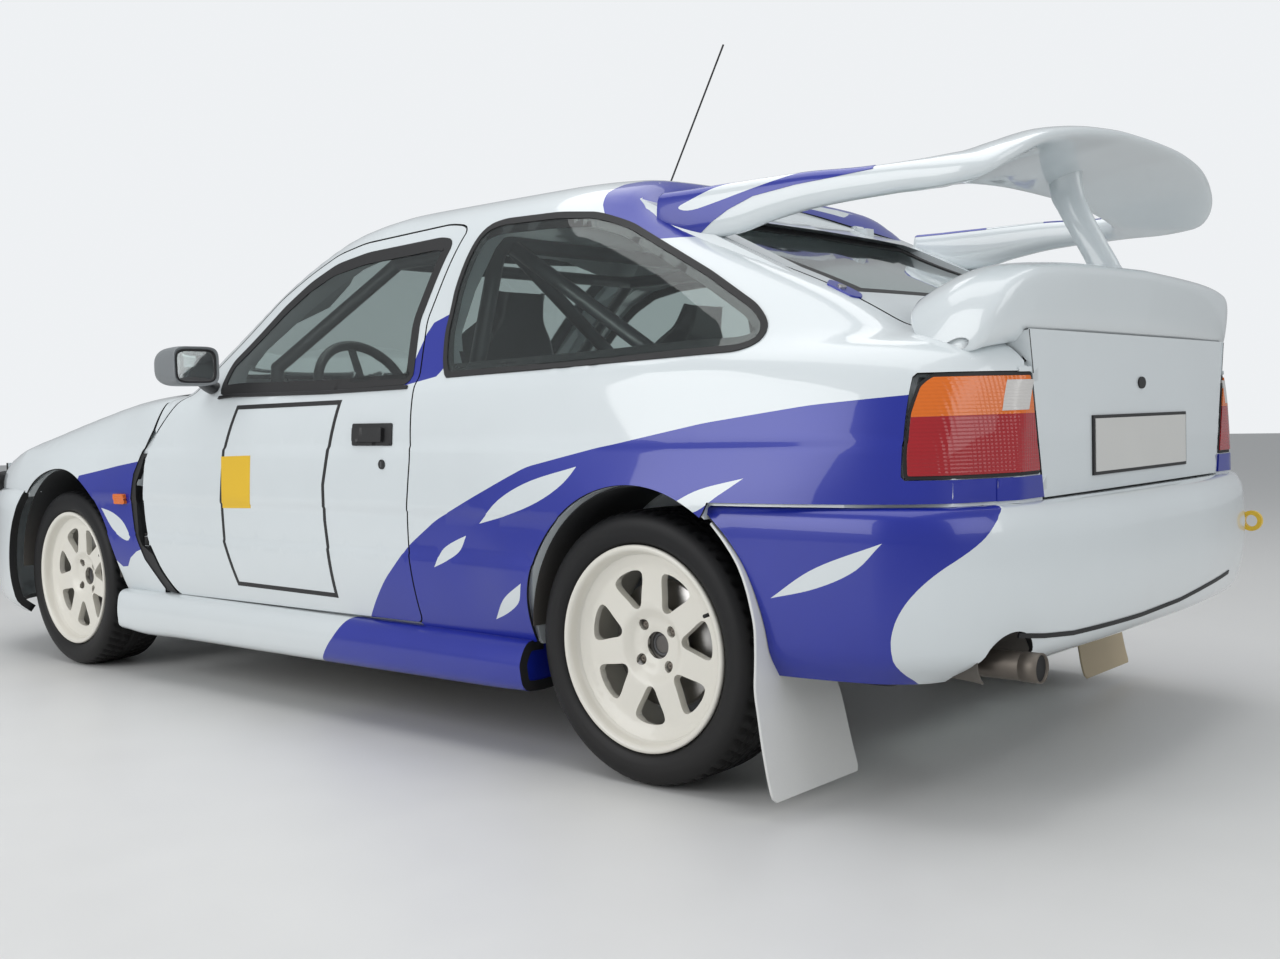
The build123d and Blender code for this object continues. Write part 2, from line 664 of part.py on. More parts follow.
@lru_cache
def deck_spoiler():
    """Lower spoiler that stands up from the tailgate's edge."""
    rings = []
    for y, front, front_z, ridge, ridge_z, rear, foot, foot_z in (
        (-640, -560, 900, -650, 985, -700, -712, 905),
        (-560, -470, 985, -650, 1058, -750, -742, 925),
        (-300, -465, 1000, -648, 1080, -772, -752, 935),
        (0, -460, 1005, -645, 1086, -780, -756, 938),
        (300, -465, 1000, -648, 1080, -772, -752, 935),
        (560, -470, 985, -650, 1058, -750, -742, 925),
        (640, -560, 900, -650, 985, -700, -712, 905),
    ):
        ring = ((front, front_z), (ridge, ridge_z), (rear, ridge_z - 14), (rear, ridge_z - 34),
                (foot, foot_z), (foot + 40, foot_z - 30), (front, front_z - 40))
        rings.append([(from_axle(x), y, z) for x, z in ring])
    return ring_loft(rings) - body_form(-SEAT_CLEARANCE)


def wing_edge(y):
    """Trailing edge of the high wing at a place across the car."""
    bend = (abs(y) / WING_HALF_SPAN) ** WING_CURVE
    return WING_TRAIL_X + WING_SWEEP * bend, WING_TRAIL_Z - WING_DROOP * bend


def tail_wing():
    """High rear wing: arched blade with a low nose, the two arms that carry it and the strut in the middle."""
    rings = []
    for y in (-622, -600, -540, -420, -220, 0, 220, 420, 540, 600, 622):
        trail_x, trail_z = wing_edge(min(abs(y), WING_HALF_SPAN))
        lead_x = WING_LEAD_X + 150 * (abs(y) / 622) ** 4
        drop = WING_LEAD_DROP * (1 - 0.6 * (y / 622) ** 2)
        skin = 6 if abs(y) < 610 else 0
        ring = ((trail_x, trail_z), (trail_x + 2, trail_z + 12), (trail_x + 85, trail_z + 9 + skin),
                (lead_x - 70, trail_z + skin), (lead_x - 18, trail_z - drop * 0.52), (lead_x, trail_z - drop),
                (lead_x - 8, trail_z - drop * 1.28 - 2), (lead_x - 62, trail_z - drop * 0.6 - skin),
                (trail_x + 85, trail_z - 8 - skin))
        rings.append([(from_axle(x), y, z) for x, z in ring])
    wing = ring_loft(rings)
    for side in (1, -1):
        inner = side * (WING_HALF_SPAN - WING_ARM_THICKNESS)
        wing += side_prism(WING_ARM, inner, side * WING_HALF_SPAN)
    top = WING_TRAIL_Z
    strut = [(-540, top - 35), (-549, 1250), (-636, 1085), (-640, 1040), (-710, 1040), (-706, 1085),
             (-630, 1240), (-622, top - 5)]
    wing += side_prism(strut, -16, 16)
    return wing - body_form(-SEAT_CLEARANCE) - deck_spoiler()


def tail_panel_edge(z):
    """Half-width of the tailgate's lower panel at a height."""
    low, high = TAIL_PANEL_HALF_WIDTHS
    return low + (high - low) * (z - BUMPER_TOP_Z) / (912 - BUMPER_TOP_Z)


def tail_lamp_space(gap):
    """Place of the left tail lamp, between the tailgate and the wing."""
    clear = PANEL_GAP + 2 - gap
    outline = [(tail_panel_edge(658) + clear, 658 - gap), (792, 658 - gap), (792, 850 + gap),
               (tail_panel_edge(838) + clear, 838 + gap)]
    return front_prism(outline, -800, -LAMP_FRONT + gap)


def tail_lamp():
    """Left tail lamp, wrapped round the corner between the tailgate and the wing."""
    return (body_form(0) - body_form(LAMP_DEPTH)) & tail_lamp_space(0)


def headlamp():
    """Left headlamp."""
    return body_form(0) & headlamp_space(0)


def mirror_shell():
    """Left door mirror on its foot."""
    rings = []
    for y, front, rear, low, high in ((868, 1640, 1545, 932, 992), (905, 1680, 1525, 908, 1014),
                                      (985, 1672, 1528, 905, 1016), (1010, 1640, 1545, 920, 1004)):
        ring = ((rear, low + 8), (rear, high - 8), (rear + 14, high), (front - 40, high - 6),
                (front, (low + high) / 2 + 12), (front, (low + high) / 2 - 16), (front - 40, low + 4),
                (rear + 14, low))
        rings.append([(from_axle(x), y, z) for x, z in ring])
    housing = ring_loft(rings)
    housing += rod((from_axle(1620), 878, 940), (from_axle(1700), 765, 915), 15)
    return housing - body_form(-SEAT_CLEARANCE)


def rim(place, side, track):
    """Seven-window rim with its hub and brake disc, one side."""
    outer = RIM_WIDTH / 2
    profile = [
        (BARREL_RADIUS - BARREL_WALL, -outer + 14), (RIM_RADIUS, -outer), (RIM_RADIUS, -outer + 12),
        (BARREL_RADIUS, -outer + 26), (BARREL_RADIUS, outer - 26), (RIM_RADIUS, outer - 12),
        (RIM_RADIUS, outer), (BARREL_RADIUS - BARREL_WALL, outer - 20),
    ]
    wire = Wire.make_polygon([(r, y, 0) for r, y in profile])
    barrel = Solid.revolve(Face(wire), 360, Axis.Y)
    face = outer - SPOKE_FACE_DEPTH
    disc = [
        (HUB_BORE, face - 34), (HUB_BORE, face - 2), (62, face - 6), (92, face - 16),
        (150, face - 10), (BARREL_RADIUS - 4, face), (BARREL_RADIUS - 4, face - SPOKE_DISC_THICKNESS),
        (92, face - 42),
    ]
    spokes = Solid.revolve(Face(Wire.make_polygon([(r, y, 0) for r, y in disc])), 360, Axis.Y)
    window = Polyline((0, 96), (-38, 150), (-30, 172), (30, 172), (38, 150), (0, 96))
    outline = fillet(make_face(window).vertices(), 12)
    cutter = extrude(outline, amount=90)
    for turn in range(WINDOW_COUNT):
        angle = 360 / WINDOW_COUNT * turn
        spokes -= Rot(0, angle, 0) * Pos(0, outer, 0) * Rot(90, 0, 0) * cutter
    for turn in range(BOLT_COUNT):
        angle = 360 / BOLT_COUNT * turn + 45
        hole = Rot(90, 0, 0) * Cylinder(9, 200)
        spokes -= Rot(0, angle, 0) * Pos(BOLT_CIRCLE / 2, 0, 0) * hole
    hub = Pos(0, 4, 0) * Rot(90, 0, 0) * (Cylinder(66, 60) - Cylinder(20, 60))
    disc_plate = Pos(0, DISC_SHIFT, 0) * Rot(90, 0, 0) * Cylinder(DISC_RADIUS, DISC_THICKNESS)
    disc_plate -= Pos(0, DISC_SHIFT, 0) * Rot(90, 0, 0) * Cylinder(20, DISC_THICKNESS + 2)
    wheel = barrel + spokes + hub + disc_plate
    if side < 0:
        wheel = mirrored(wheel)
    return Pos(from_axle(place), side * track / 2, TYRE_RADIUS) * wheel


def tyre(place, side, track):
    """Tyre as a solid ring on its rim."""
    half = TYRE_WIDTH / 2
    seat = BARREL_RADIUS + SEAT_CLEARANCE
    inner = RIM_WIDTH / 2 - 27
    bead = RIM_WIDTH / 2 - 13
    profile = [(seat, -inner), (RIM_RADIUS + 1, -bead), (252, -half), (TYRE_RADIUS, -half + 22),
               (TYRE_RADIUS, half - 22), (252, half), (RIM_RADIUS + 1, bead), (seat, inner)]
    ring = Solid.revolve(Face(Wire.make_polygon([(r, y, 0) for r, y in profile])), 360, Axis.Y)
    return Pos(from_axle(place), side * track / 2, TYRE_RADIUS) * ring


def kingpin_point(z):
    """Half-width of the leaning kingpin line at a height."""
    (low_y, low_z), (top_y, top_z) = KINGPIN_LOW, KINGPIN_TOP
    return low_y + (top_y - low_y) * (z - low_z) / (top_z - low_z)


def knuckle():
    """Left steering knuckle with its stub axle and brake caliper."""
    x = from_axle(WHEELBASE)
    axle_y = TRACK_FRONT / 2
    body = rod((x, kingpin_point(205), 205), (x, kingpin_point(400), 400), 24)
    body += rod((x, kingpin_point(295) - 20, TYRE_RADIUS), (x, axle_y - 28, TYRE_RADIUS), 44)
    body += rod((x, axle_y - 60, TYRE_RADIUS), (x, axle_y + 20, TYRE_RADIUS), 19)
    caliper = block(WHEELBASE - 178, WHEELBASE - 84, axle_y - 42, axle_y - 18, 240, 350)
    caliper += block(WHEELBASE - 178, WHEELBASE - 146, axle_y - 42, axle_y + 14, 240, 350)
    arm = rod((x, kingpin_point(250), 250), (x - 110, kingpin_point(250) - 6, 250), 14)
    bridge = rod((x - 20, kingpin_point(TYRE_RADIUS), TYRE_RADIUS), (x - 130, axle_y - 34, TYRE_RADIUS), 12)
    return body + caliper + arm + bridge


def front_strut():
    """Left front strut with its coil, and the lower arm with its ball joint."""
    x = from_axle(WHEELBASE)
    top_z = TYRE_RADIUS + ARCH_RISE + ARCH_RADIUS_FRONT - 7
    strut = rod((x, kingpin_point(400.4), 400.4), (x, kingpin_point(top_z), top_z), 23)
    for z in (604, 622, 640):
        strut += rod((x, kingpin_point(z), z), (x, kingpin_point(z + 8), z + 8), 46)
    arm = rod((x, kingpin_point(150), 150), (x, kingpin_point(204.6), 204.6), 20)
    arm += rod((x, kingpin_point(160), 160), (x - 40, 250, 172), 19)
    arm += rod((x, kingpin_point(160), 160), (x - 240, 300, 176), 15)
    return [strut, arm]


def front_suspension():
    """Subframe beam with both arms and both struts."""
    beam = block(WHEELBASE - 110, WHEELBASE - 20, -300, 300, 148.3, 200)
    for side in (1, -1):
        beam += block(WHEELBASE - 300, WHEELBASE - 20, side * 290 - 40, side * 290 + 40, 148.3, 210)
        for place in (WHEELBASE - 300, WHEELBASE - 90):
            beam += block(place, place + 70, side * 370 - 90, side * 370 + 90, 185, 234.7)
    strut, arm = front_strut()
    beam += arm + mirrored(arm)
    return Compound(children=[*solids_of(beam), strut, mirrored(strut)])


def rear_suspension():
    """Rear beam, trailing arms, hub carriers, dampers and calipers."""
    beam = block(-60, 60, -520, 520, 212, 262) - rod((from_axle(-200), 0, 190), (from_axle(200), 0, 190), 67)
    for side in (1, -1):
        beam += block(-40, 40, side * 400 - 30, side * 400 + 30, 250, REAR_FLOOR_Z - SEAT_CLEARANCE)
        hub_y = side * (TRACK_REAR / 2 - 50)
        beam += rod((from_axle(-10), side * 420, 235), (from_axle(-10), side * 640, 240), 22)
        beam += rod((from_axle(0), side * 590, TYRE_RADIUS), (from_axle(0), hub_y, TYRE_RADIUS), 40)
        beam += rod((from_axle(0), hub_y, TYRE_RADIUS), (from_axle(0), side * (TRACK_REAR / 2 + 20), TYRE_RADIUS), 19)
        beam += rod((from_axle(-10), side * 604, 236), (from_axle(-10), side * 604, 320), 28)
        beam += rod((from_axle(-10), side * 600, 246), (from_axle(330), side * 520, 222), 17)
        beam += block(300, 360, side * 520 - 25, side * 520 + 25, 222, REAR_FLOOR_Z - SEAT_CLEARANCE)
        top_z = TYRE_RADIUS + ARCH_RISE + ARCH_RADIUS_REAR - 1
        beam += rod((from_axle(0), side * 600, 300), (from_axle(0), side * 600, top_z), 20)
        for z in (598, 613, 628):
            beam += rod((from_axle(0), side * 600, z), (from_axle(0), side * 600, z + 8), 34)
    return beam


def driveline():
    """Propeller shaft and rear axle case."""
    shaft = rod((from_axle(40), 0, 190), (from_axle(2239.7), 0, 202), 30)
    return shaft + rod((from_axle(-135), 0, 190), (from_axle(45), 0, 190), 66)


def exhaust():
    """Exhaust from the engine to the tip in the bumper's recess."""
    pipe = bent_tube([(from_axle(2200), 260, 186), (from_axle(1960), 250, 162), (from_axle(120), 240, 162),
                      (from_axle(-300), 330, 190), (from_axle(-480), 560, 262), (from_axle(-640), 640, 306),
                      (from_axle(-800), 640, 306)], 70, 27)
    box = rod((from_axle(900), 244, 162), (from_axle(480), 242, 162), 32.7)
    return pipe + box


def engine():
    """Engine and gearbox as one block at its place."""
    return block(2240, 3000, -210, 230, 200.3, 640)


def sump_guard():
    """Plate under the engine, upswept in front."""
    outline = [(2220, 140), (3080, 140), (3270, 178), (3270, 186), (3080, 148), (2220, 148)]
    return side_prism(outline, -330, 330)


def roll_cage():
    """Safety cage: main hoop, front legs, roof bars, back stays and a diagonal."""
    floor = FLOOR_Z + FLOOR_THICKNESS
    rear_floor = REAR_FLOOR_Z + 28 + SEAT_CLEARANCE
    x = from_axle(722)
    cage = bent_tube([(x, 640, floor + 3), (x, 655, 820), (x - 4, 535, 1246), (x - 4, -535, 1246),
                      (x, -655, 820), (x, -640, floor + 3)], 60, CAGE_TUBE)
    leg = CAGE_TUBE - 1.5
    for side in (1, -1):
        roof_front = (from_axle(1180), side * 497, 1240)
        elbow = (from_axle(1600), side * 628, 960)
        stay_knee = (from_axle(-120), side * 505, 720)
        cage += rod((x - 4, side * 508, 1244), roof_front, leg)
        cage += rod(roof_front, elbow, leg) + Pos(*roof_front) * Sphere(leg + 1)
        cage += rod(elbow, (from_axle(1680), side * 650, floor + 4), leg) + Pos(*elbow) * Sphere(leg + 1)
        cage += rod((x - 4, side * 490, 1241), stay_knee, leg)
        cage += rod(stay_knee, (stay_knee[0], stay_knee[1], rear_floor + 2), leg) + Pos(*stay_knee) * Sphere(leg + 1)
        for place, y, z in ((722, 640, floor), (1680, 650, floor), (-120, 505, rear_floor)):
            low = z + (0.3 - 0.3 * (z > 290))
            cage += block(place - 45, place + 45, side * y - 28, side * y + 28, low, low + 5)
    cage += rod((from_axle(1180), -497, 1240), (from_axle(1180), 497, 1240), leg - 1)
    return cage + rod((x - 2, 490, 1236), (x, -634, 420), leg - 1)


def seat():
    """Left bucket seat with its side bolsters and belt holes."""
    base = block(880, 1330, 180, 620, 250, 400) - block(900, 1345, 240, 560, 350, 410)
    shell = [(1010, 330), (830, 1060), (760, 1060), (870, 300)]
    back = side_prism(shell, 160, 640)
    dish = [(1020, 380), (880, 1000), (820, 1000), (925, 360)]
    back -= side_prism(dish, 230, 570)
    head = [(800, 1050), (812, 1130), (768, 1130), (752, 1050)]
    back += side_prism(head, 290, 510)
    for y in (330, 470):
        back -= block(700, 950, y - 38, y + 38, 930, 975)
    feet = block(900, 1300, 200, 230, FLOOR_Z + 40 + SEAT_CLEARANCE, 252)
    feet += block(900, 1300, 570, 600, FLOOR_Z + 40 + SEAT_CLEARANCE, 252)
    return base + back + feet


def dashboard():
    """Dashboard with the steering column."""
    outline = [(1899.7, 600), (1899.7, 856), (1720, 852), (1640, 800), (1660, 640)]
    board = side_prism(outline, -605, 605)
    return board + rod((from_axle(1700), 370, 800), (from_axle(1560), 370, 862), 24)


def steering_wheel():
    """Three-spoke wheel on the end of the column."""
    wheel = Torus(165, 15)
    for turn in (0, 180, 270):
        wheel += Rot(0, 0, turn) * Pos(90, 0, 0) * Box(150, 26, 6)
    wheel += Pos(0, 0, -20.8) * Cylinder(30, 45)
    tilt = math.degrees(math.atan2(140, 62))
    return Pos(from_axle(1520), 370, 879.8) * Rot(0, -tilt, 0) * wheel


def mud_flap():
    """Left rear mud flap: a sheet along the arch's rear edge and down behind the wheel."""
    centre = TYRE_RADIUS + ARCH_RISE
    front, back = [], []
    for turn in (50, 40, 28, 16, 4, -10):
        angle = math.radians(turn)
        for row, radius in ((front, ARCH_RADIUS_REAR - 3), (back, ARCH_RADIUS_REAR + 5.7)):
            row.append((-radius * math.cos(angle), centre + radius * math.sin(angle)))
    outline = [*front, (-372, 38), (-380, 38), *reversed(back)]
    return side_prism(outline, 556, 885)


def antenna():
    """Whip on the roof."""
    foot = rod((from_axle(600), 0, 1397.3), (from_axle(600), 0, 1411), 15)
    return foot + rod((from_axle(600), 0, 1408), (from_axle(380), 0, 1790), 2.5)


def tow_eyes():
    """Front and rear recovery eyes."""
    eyes = []
    for start, end, y, z in TOW_EYES:
        direction = 1 if end > start else -1
        ring = Pos(from_axle(end - direction * 26), y, z) * Rot(90, 0, 0) * (Cylinder(26, 12) - Cylinder(15, 14))
        eyes.append(ring + tow_stem(len(eyes), 0))
    return Compound(children=eyes)


def export(name, shape):
    """Write one node."""
    export_step(shape, f"parts/{name}.step")


def main():
    os.makedirs("parts", exist_ok=True)
    left_door = door_panel()
    wing = wing_panel()
    pieces = {
        "body_shell": body_shell(),
        "floor_pan": floor_pan(),
        "front_wings": pair(wing),
        "front_bumper": front_bumper(),
        "front_grille": front_grille(),
        "rear_bumper": rear_bumper(),
        "side_skirts": pair(side_skirt()),
        "bonnet": bonnet(),
        "tailgate": tailgate(),
        "back_glass": back_glass(),
        "windscreen": windscreen(),
        "quarter_glass": pair(quarter_glass()),
        "deck_spoiler": deck_spoiler(),
        "tail_wing": tail_wing(),
        "tail_lamps": pair(tail_lamp()),
        "headlamps": pair(headlamp()),
        "front_suspension": front_suspension(),
        "rear_suspension": rear_suspension(),
        "driveline": driveline(),
        "exhaust": exhaust(),
        "engine": engine(),
        "sump_guard": sump_guard(),
        "roll_cage": roll_cage(),
        "front_seats": pair(seat()),
        "dashboard": dashboard(),
        "steering_wheel": steering_wheel(),
        "mud_flaps": pair(mud_flap()),
        "antenna": antenna(),
        "tow_eyes": tow_eyes(),
    }
    for side, label in ((1, "left"), (-1, "right")):
        turned = (lambda solid: solid) if side == 1 else mirrored
        pieces[f"door_{label}"] = turned(left_door)
        pieces[f"door_glass_{label}"] = turned(door_glass())
        pieces[f"mirror_{label}"] = turned(mirror_shell())
        pieces[f"knuckle_{label}"] = turned(knuckle())
        for end, place, track in (("front", WHEELBASE, TRACK_FRONT), ("rear", 0, TRACK_REAR)):
            pieces[f"rim_{end}_{label}"] = rim(place, side, track)
            pieces[f"tyre_{end}_{label}"] = tyre(place, side, track)
    for name, shape in pieces.items():
        export(name, shape)


main()
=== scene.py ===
# %% [markdown]
# # A rally hatchback over its CAD frame
# The CAD model gives every hinge, wheel and wall its true size. Here it gets its painted skin,
# glass, lamps and tyres. The skin is worked out from the same few cross-sections as the CAD
# body, drawn as smooth curves instead of flats, so each panel lies a few millimetres proud of
# its solid and moves with it.
# %% Load the frame
import json
import math

import bpy
import numpy as np
from mathutils import Matrix, Vector
from mathutils.geometry import delaunay_2d_cdt

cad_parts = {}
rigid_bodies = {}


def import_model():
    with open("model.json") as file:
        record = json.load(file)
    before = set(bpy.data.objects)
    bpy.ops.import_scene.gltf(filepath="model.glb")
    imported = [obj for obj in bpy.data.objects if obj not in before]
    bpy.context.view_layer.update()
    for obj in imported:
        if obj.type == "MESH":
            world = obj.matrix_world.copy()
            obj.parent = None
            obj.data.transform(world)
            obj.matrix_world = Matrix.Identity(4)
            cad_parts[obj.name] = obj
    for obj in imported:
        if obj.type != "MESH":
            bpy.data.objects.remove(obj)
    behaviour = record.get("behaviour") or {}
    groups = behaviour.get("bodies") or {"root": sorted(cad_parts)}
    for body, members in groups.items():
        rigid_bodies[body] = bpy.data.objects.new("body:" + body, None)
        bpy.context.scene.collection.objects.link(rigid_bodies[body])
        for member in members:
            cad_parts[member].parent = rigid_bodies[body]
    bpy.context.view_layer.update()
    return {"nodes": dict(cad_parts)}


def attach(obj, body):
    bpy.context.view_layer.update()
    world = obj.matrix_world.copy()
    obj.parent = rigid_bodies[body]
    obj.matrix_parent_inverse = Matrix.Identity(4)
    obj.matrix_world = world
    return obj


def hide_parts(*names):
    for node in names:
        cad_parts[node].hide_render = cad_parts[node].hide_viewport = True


for item in list(bpy.data.objects):
    bpy.data.objects.remove(item)
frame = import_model()
REAR_AXLE_X = -1278.5
WHEELBASE = 2551.0
TYRE_RADIUS = 295.0
ARCH_Z = 317

# %% [markdown]
# ## Camera
# The picture was taken low, behind the left rear wheel. Its place was found from the rims,
# which are circles of known size, and from the lamps. A lens of 37.9 mm on a 36 mm wide frame
# gives the same perspective, so straight lines fall where they do in the picture.
# %% Camera
YAW, PITCH, ROLL = -0.8508, -0.0472, -0.02663
forward = np.array([math.cos(YAW) * math.cos(PITCH), math.sin(YAW) * math.cos(PITCH), math.sin(PITCH)])
level_right = np.array([math.sin(YAW), -math.cos(YAW), 0.0])
level_up = np.cross(level_right, forward)
right = math.cos(ROLL) * level_right + math.sin(ROLL) * level_up
up = -math.sin(ROLL) * level_right + math.cos(ROLL) * level_up
camera_data = bpy.data.cameras.new("camera")
camera_data.sensor_width = 36.0
camera_data.lens = 37.90
camera = bpy.data.objects.new("camera", camera_data)
bpy.context.scene.collection.objects.link(camera)
turn = Matrix([[right[i], up[i], -forward[i]] for i in range(3)]).to_4x4()
camera.matrix_world = Matrix.Translation(Vector((-3.1532, 2.9623, 0.7883))) @ turn
bpy.context.scene.camera = camera
print("camera height", round(camera.location.z, 3))

# %% [markdown]
# ## Smooth curves through a few sizes
# A loft that overshoots its sections makes waves in painted metal, which show at once in the
# reflections. A monotone cubic never swings past its points, so flanks between two equal
# widths stay straight and only the corners turn.
# %% Monotone cubic


def smooth(knots, values, at):
    """Monotone cubic (Fritsch and Carlson) through values at knots, for each place in at."""
    knots = np.asarray(knots, float)
    values = np.asarray(values, float)
    step = np.diff(knots)
    shape = (-1,) + (1,) * (values.ndim - 1)
    slope = np.diff(values, axis=0) / step.reshape(shape)
    before, after = slope[:-1], slope[1:]
    weight_a = (2 * step[1:] + step[:-1]).reshape(shape)
    weight_b = (step[1:] + 2 * step[:-1]).reshape(shape)
    same = before * after > 0
    safe_before = np.where(same, before, 1.0)
    safe_after = np.where(same, after, 1.0)
    middle = np.where(same, (weight_a + weight_b) / (weight_a / safe_before + weight_b / safe_after), 0.0)
    tangent = np.concatenate([slope[:1], middle, slope[-1:]])
    at = np.asarray(at, float)
    cell = np.clip(np.searchsorted(knots, at, side="right") - 1, 0, len(knots) - 2)
    part_shape = at.shape + (1,) * (values.ndim - 1)
    h = step[cell].reshape(part_shape)
    s = ((at - knots[cell]) / step[cell]).reshape(part_shape)
    s = np.clip(s, 0.0, 1.0)
    return (
        values[cell] * (2 * s ** 3 - 3 * s ** 2 + 1) + tangent[cell] * h * (s ** 3 - 2 * s ** 2 + s)
        + values[cell + 1] * (3 * s ** 2 - 2 * s ** 3) + tangent[cell + 1] * h * (s ** 3 - s ** 2)
    )


def along(points):
    """Distance along a row of points, from 0 to 1."""
    steps = np.linalg.norm(np.diff(points, axis=0), axis=1)
    total = np.concatenate([[0.0], np.cumsum(steps)])
    return total / total[-1]


# %% [markdown]
# ## The body as one polar surface
# A car body is hard to grid: the flanks stand up, the roof lies flat. Seen in slices across
# the car, though, every slice is a closed curve round a middle line, so the distance from that
# line is a function of the place along the car and of the angle. The lower body and the
# greenhouse are each drawn from their sections, the larger of the two widths is kept with a
# soft blend where they meet, and the result is stored as one table of distances.
# %% Body sections
BODY_SECTIONS = np.array([
    (-745, 520, 560, 590, 600, 590, 540, 862, 925),
    (-680, 640, 690, 725, 735, 725, 655, 880, 962),
    (-500, 700, 770, 812, 818, 806, 735, 900, 988),
    (-330, 720, 800, 846, 850, 828, 762, 908, 996),
    (0, 730, 815, 866, 868, 838, 786, 905, 930),
    (345, 730, 812, 858, 852, 836, 798, 898, 915),
    (560, 725, 805, 836, 838, 836, 802, 890, 905),
    (1960, 725, 800, 832, 836, 832, 788, 872, 905),
    (2206, 700, 800, 850, 852, 828, 765, 852, 930),
    (2551, 690, 790, 868, 868, 822, 735, 812, 885),
    (2896, 680, 770, 850, 848, 798, 700, 760, 825),
    (3150, 620, 700, 775, 778, 745, 640, 712, 762),
    (3300, 500, 560, 640, 655, 640, 560, 672, 705),
], float)
ROOF_SECTIONS = np.array([
    (878, 2090, 1905, 745, 1600, 800, -150, 792, -600, 640, -640),
    (1010, 1885, 1735, 700, 1440, 748, 24, 742, -388, 604, -440),
    (1290, 1425, 1290, 596, 1100, 632, 400, 628, 185, 584, 150),
    (1342, 1322, 1170, 520, 1010, 560, 440, 556, 215, 480, 170),
    (1376, 1150, 1040, 350, 960, 400, 480, 392, 370, 330, 330),
    (1397, 960, 910, 140, 880, 180, 620, 180, 590, 140, 570),
    (1400, 800, 790, 12, 780, 16, 740, 16, 730, 12, 720),
], float)
UNDER_Z, SILL_Z, LOW_Z, SIDE_Z, SHOULDER_Z, NOSE_STEP = 190.0, 285.0, 460.0, 600.0, 724.0, 38.0
MIDDLE_Z = 560.0
GIRTH = 700.0
PLACES = np.linspace(-745.0, 3300.0, 810)
ANGLES = np.radians(np.linspace(0.0, 132.0, 661))
HEIGHTS = np.concatenate([np.arange(190.0, 690.0, 5.0), np.arange(690.0, 1401.0, 0.5)])


def lower_width():
    """Half-width of the lower body at each place and height, from seven lines along the car."""
    rows = smooth(BODY_SECTIONS[:, 0], BODY_SECTIONS[:, 1:], PLACES)
    width = np.full((len(PLACES), len(HEIGHTS)), -400.0)
    knots = np.array([0.0, 0.1, 0.27, 0.4, 0.5, 0.66, 0.84, 1.0, 1.16])
    fine = np.linspace(0.0, 1.0, 260)
    for index, (under, sill, low, side, shoulder, belt, belt_z, crown_z) in enumerate(rows):
        ys = np.array([under, sill + 7, low + 1, side, shoulder, belt, belt * 0.72, 0.0, -belt * 0.72])
        high = belt_z + (crown_z - belt_z) * 0.62
        zs = np.array([UNDER_Z, SILL_Z, LOW_Z, min(SIDE_Z, belt_z - 2 * NOSE_STEP),
                       min(SHOULDER_Z, belt_z - NOSE_STEP), belt_z, high, crown_z, high])
        curve = smooth(knots, np.stack([ys, zs], 1), fine)
        inside = HEIGHTS <= crown_z
        width[index, inside] = np.interp(HEIGHTS[inside], curve[:, 1], curve[:, 0])
    return width


def roof_width():
    """Half-width of the greenhouse at each place and height, from plan outlines at seven heights."""
    width = np.full((len(PLACES), len(HEIGHTS)), -400.0)
    chosen = HEIGHTS >= 760.0
    rows = smooth(ROOF_SECTIONS[:, 0], ROOF_SECTIONS[:, 1:], np.maximum(HEIGHTS[chosen], 878.0))
    fine = np.linspace(0.0, 1.0, 400)
    columns = []
    for screen, corner, corner_y, front, front_y, rear, rear_y, back_corner, back_y, back in rows:
        half = np.array([
            (screen, 0.0), ((screen * 3 + corner) / 4, corner_y * 0.5), (corner, corner_y), (front, front_y),
            (rear, rear_y), (back_corner, back_y), ((back * 3 + back_corner) / 4, back_y * 0.5), (back, 0.0),
        ])
        ring = np.concatenate([half[1:2] * (1, -1), half, half[-2:-1] * (1, -1)])
        places = along(ring)
        inner = fine * (places[-2] - places[1]) + places[1]
        curve = smooth(places, ring, inner)
        columns.append(np.interp(PLACES, curve[::-1, 0], curve[::-1, 1], left=-400.0, right=-400.0))
    width[:, chosen] = np.array(columns).T
    return width


def soften(table, reach):
    """A short running mean both ways, twice. Angle 0 is a mirror; the other edges go on straight."""
    for _ in range(2):
        for axis in (0, 1):
            moved = np.moveaxis(table, axis, 0)
            low = moved[reach:0:-1] if axis == 1 else 2 * moved[:1] - moved[reach:0:-1]
            high = 2 * moved[-1:] - moved[-2:-2 - reach:-1]
            padded = np.concatenate([low, moved, high])
            total = np.cumsum(np.concatenate([np.zeros_like(padded[:1]), padded]), axis=0)
            mean = (total[2 * reach + 1:] - total[:-2 * reach - 1]) / (2 * reach + 1)
            table = np.moveaxis(mean, 0, axis)
    return table


def distance_table(blend=24.0):
    """Distance from the middle line for each place and angle, where the widths of both forms meet softly."""
    a, b = lower_width(), roof_width()
    mix = np.clip(0.5 + 0.5 * (a - b) / blend, 0.0, 1.0)
    width = b + (a - b) * mix + blend * mix * (1 - mix)
    table = np.empty((len(PLACES), len(ANGLES)))
    for index, row in enumerate(width):
        real = row > 0
        y, z = row[real], HEIGHTS[real] - MIDDLE_Z
        inner = np.linspace(0.95, 0.0, 12)
        y, z = np.concatenate([y, y[-1] * inner]), np.concatenate([z, z[-1] + 0.25 * (1 - inner ** 2)])
        angle = np.arctan2(y, z)
        table[index] = np.interp(ANGLES, angle[::-1], np.hypot(y, z)[::-1])
    return soften(table, 4)


DISTANCE = distance_table()
print("roof height", round(float(DISTANCE[:, 0].max() + MIDDLE_Z)), "mm at place",
      round(float(PLACES[DISTANCE[:, 0].argmax()])))

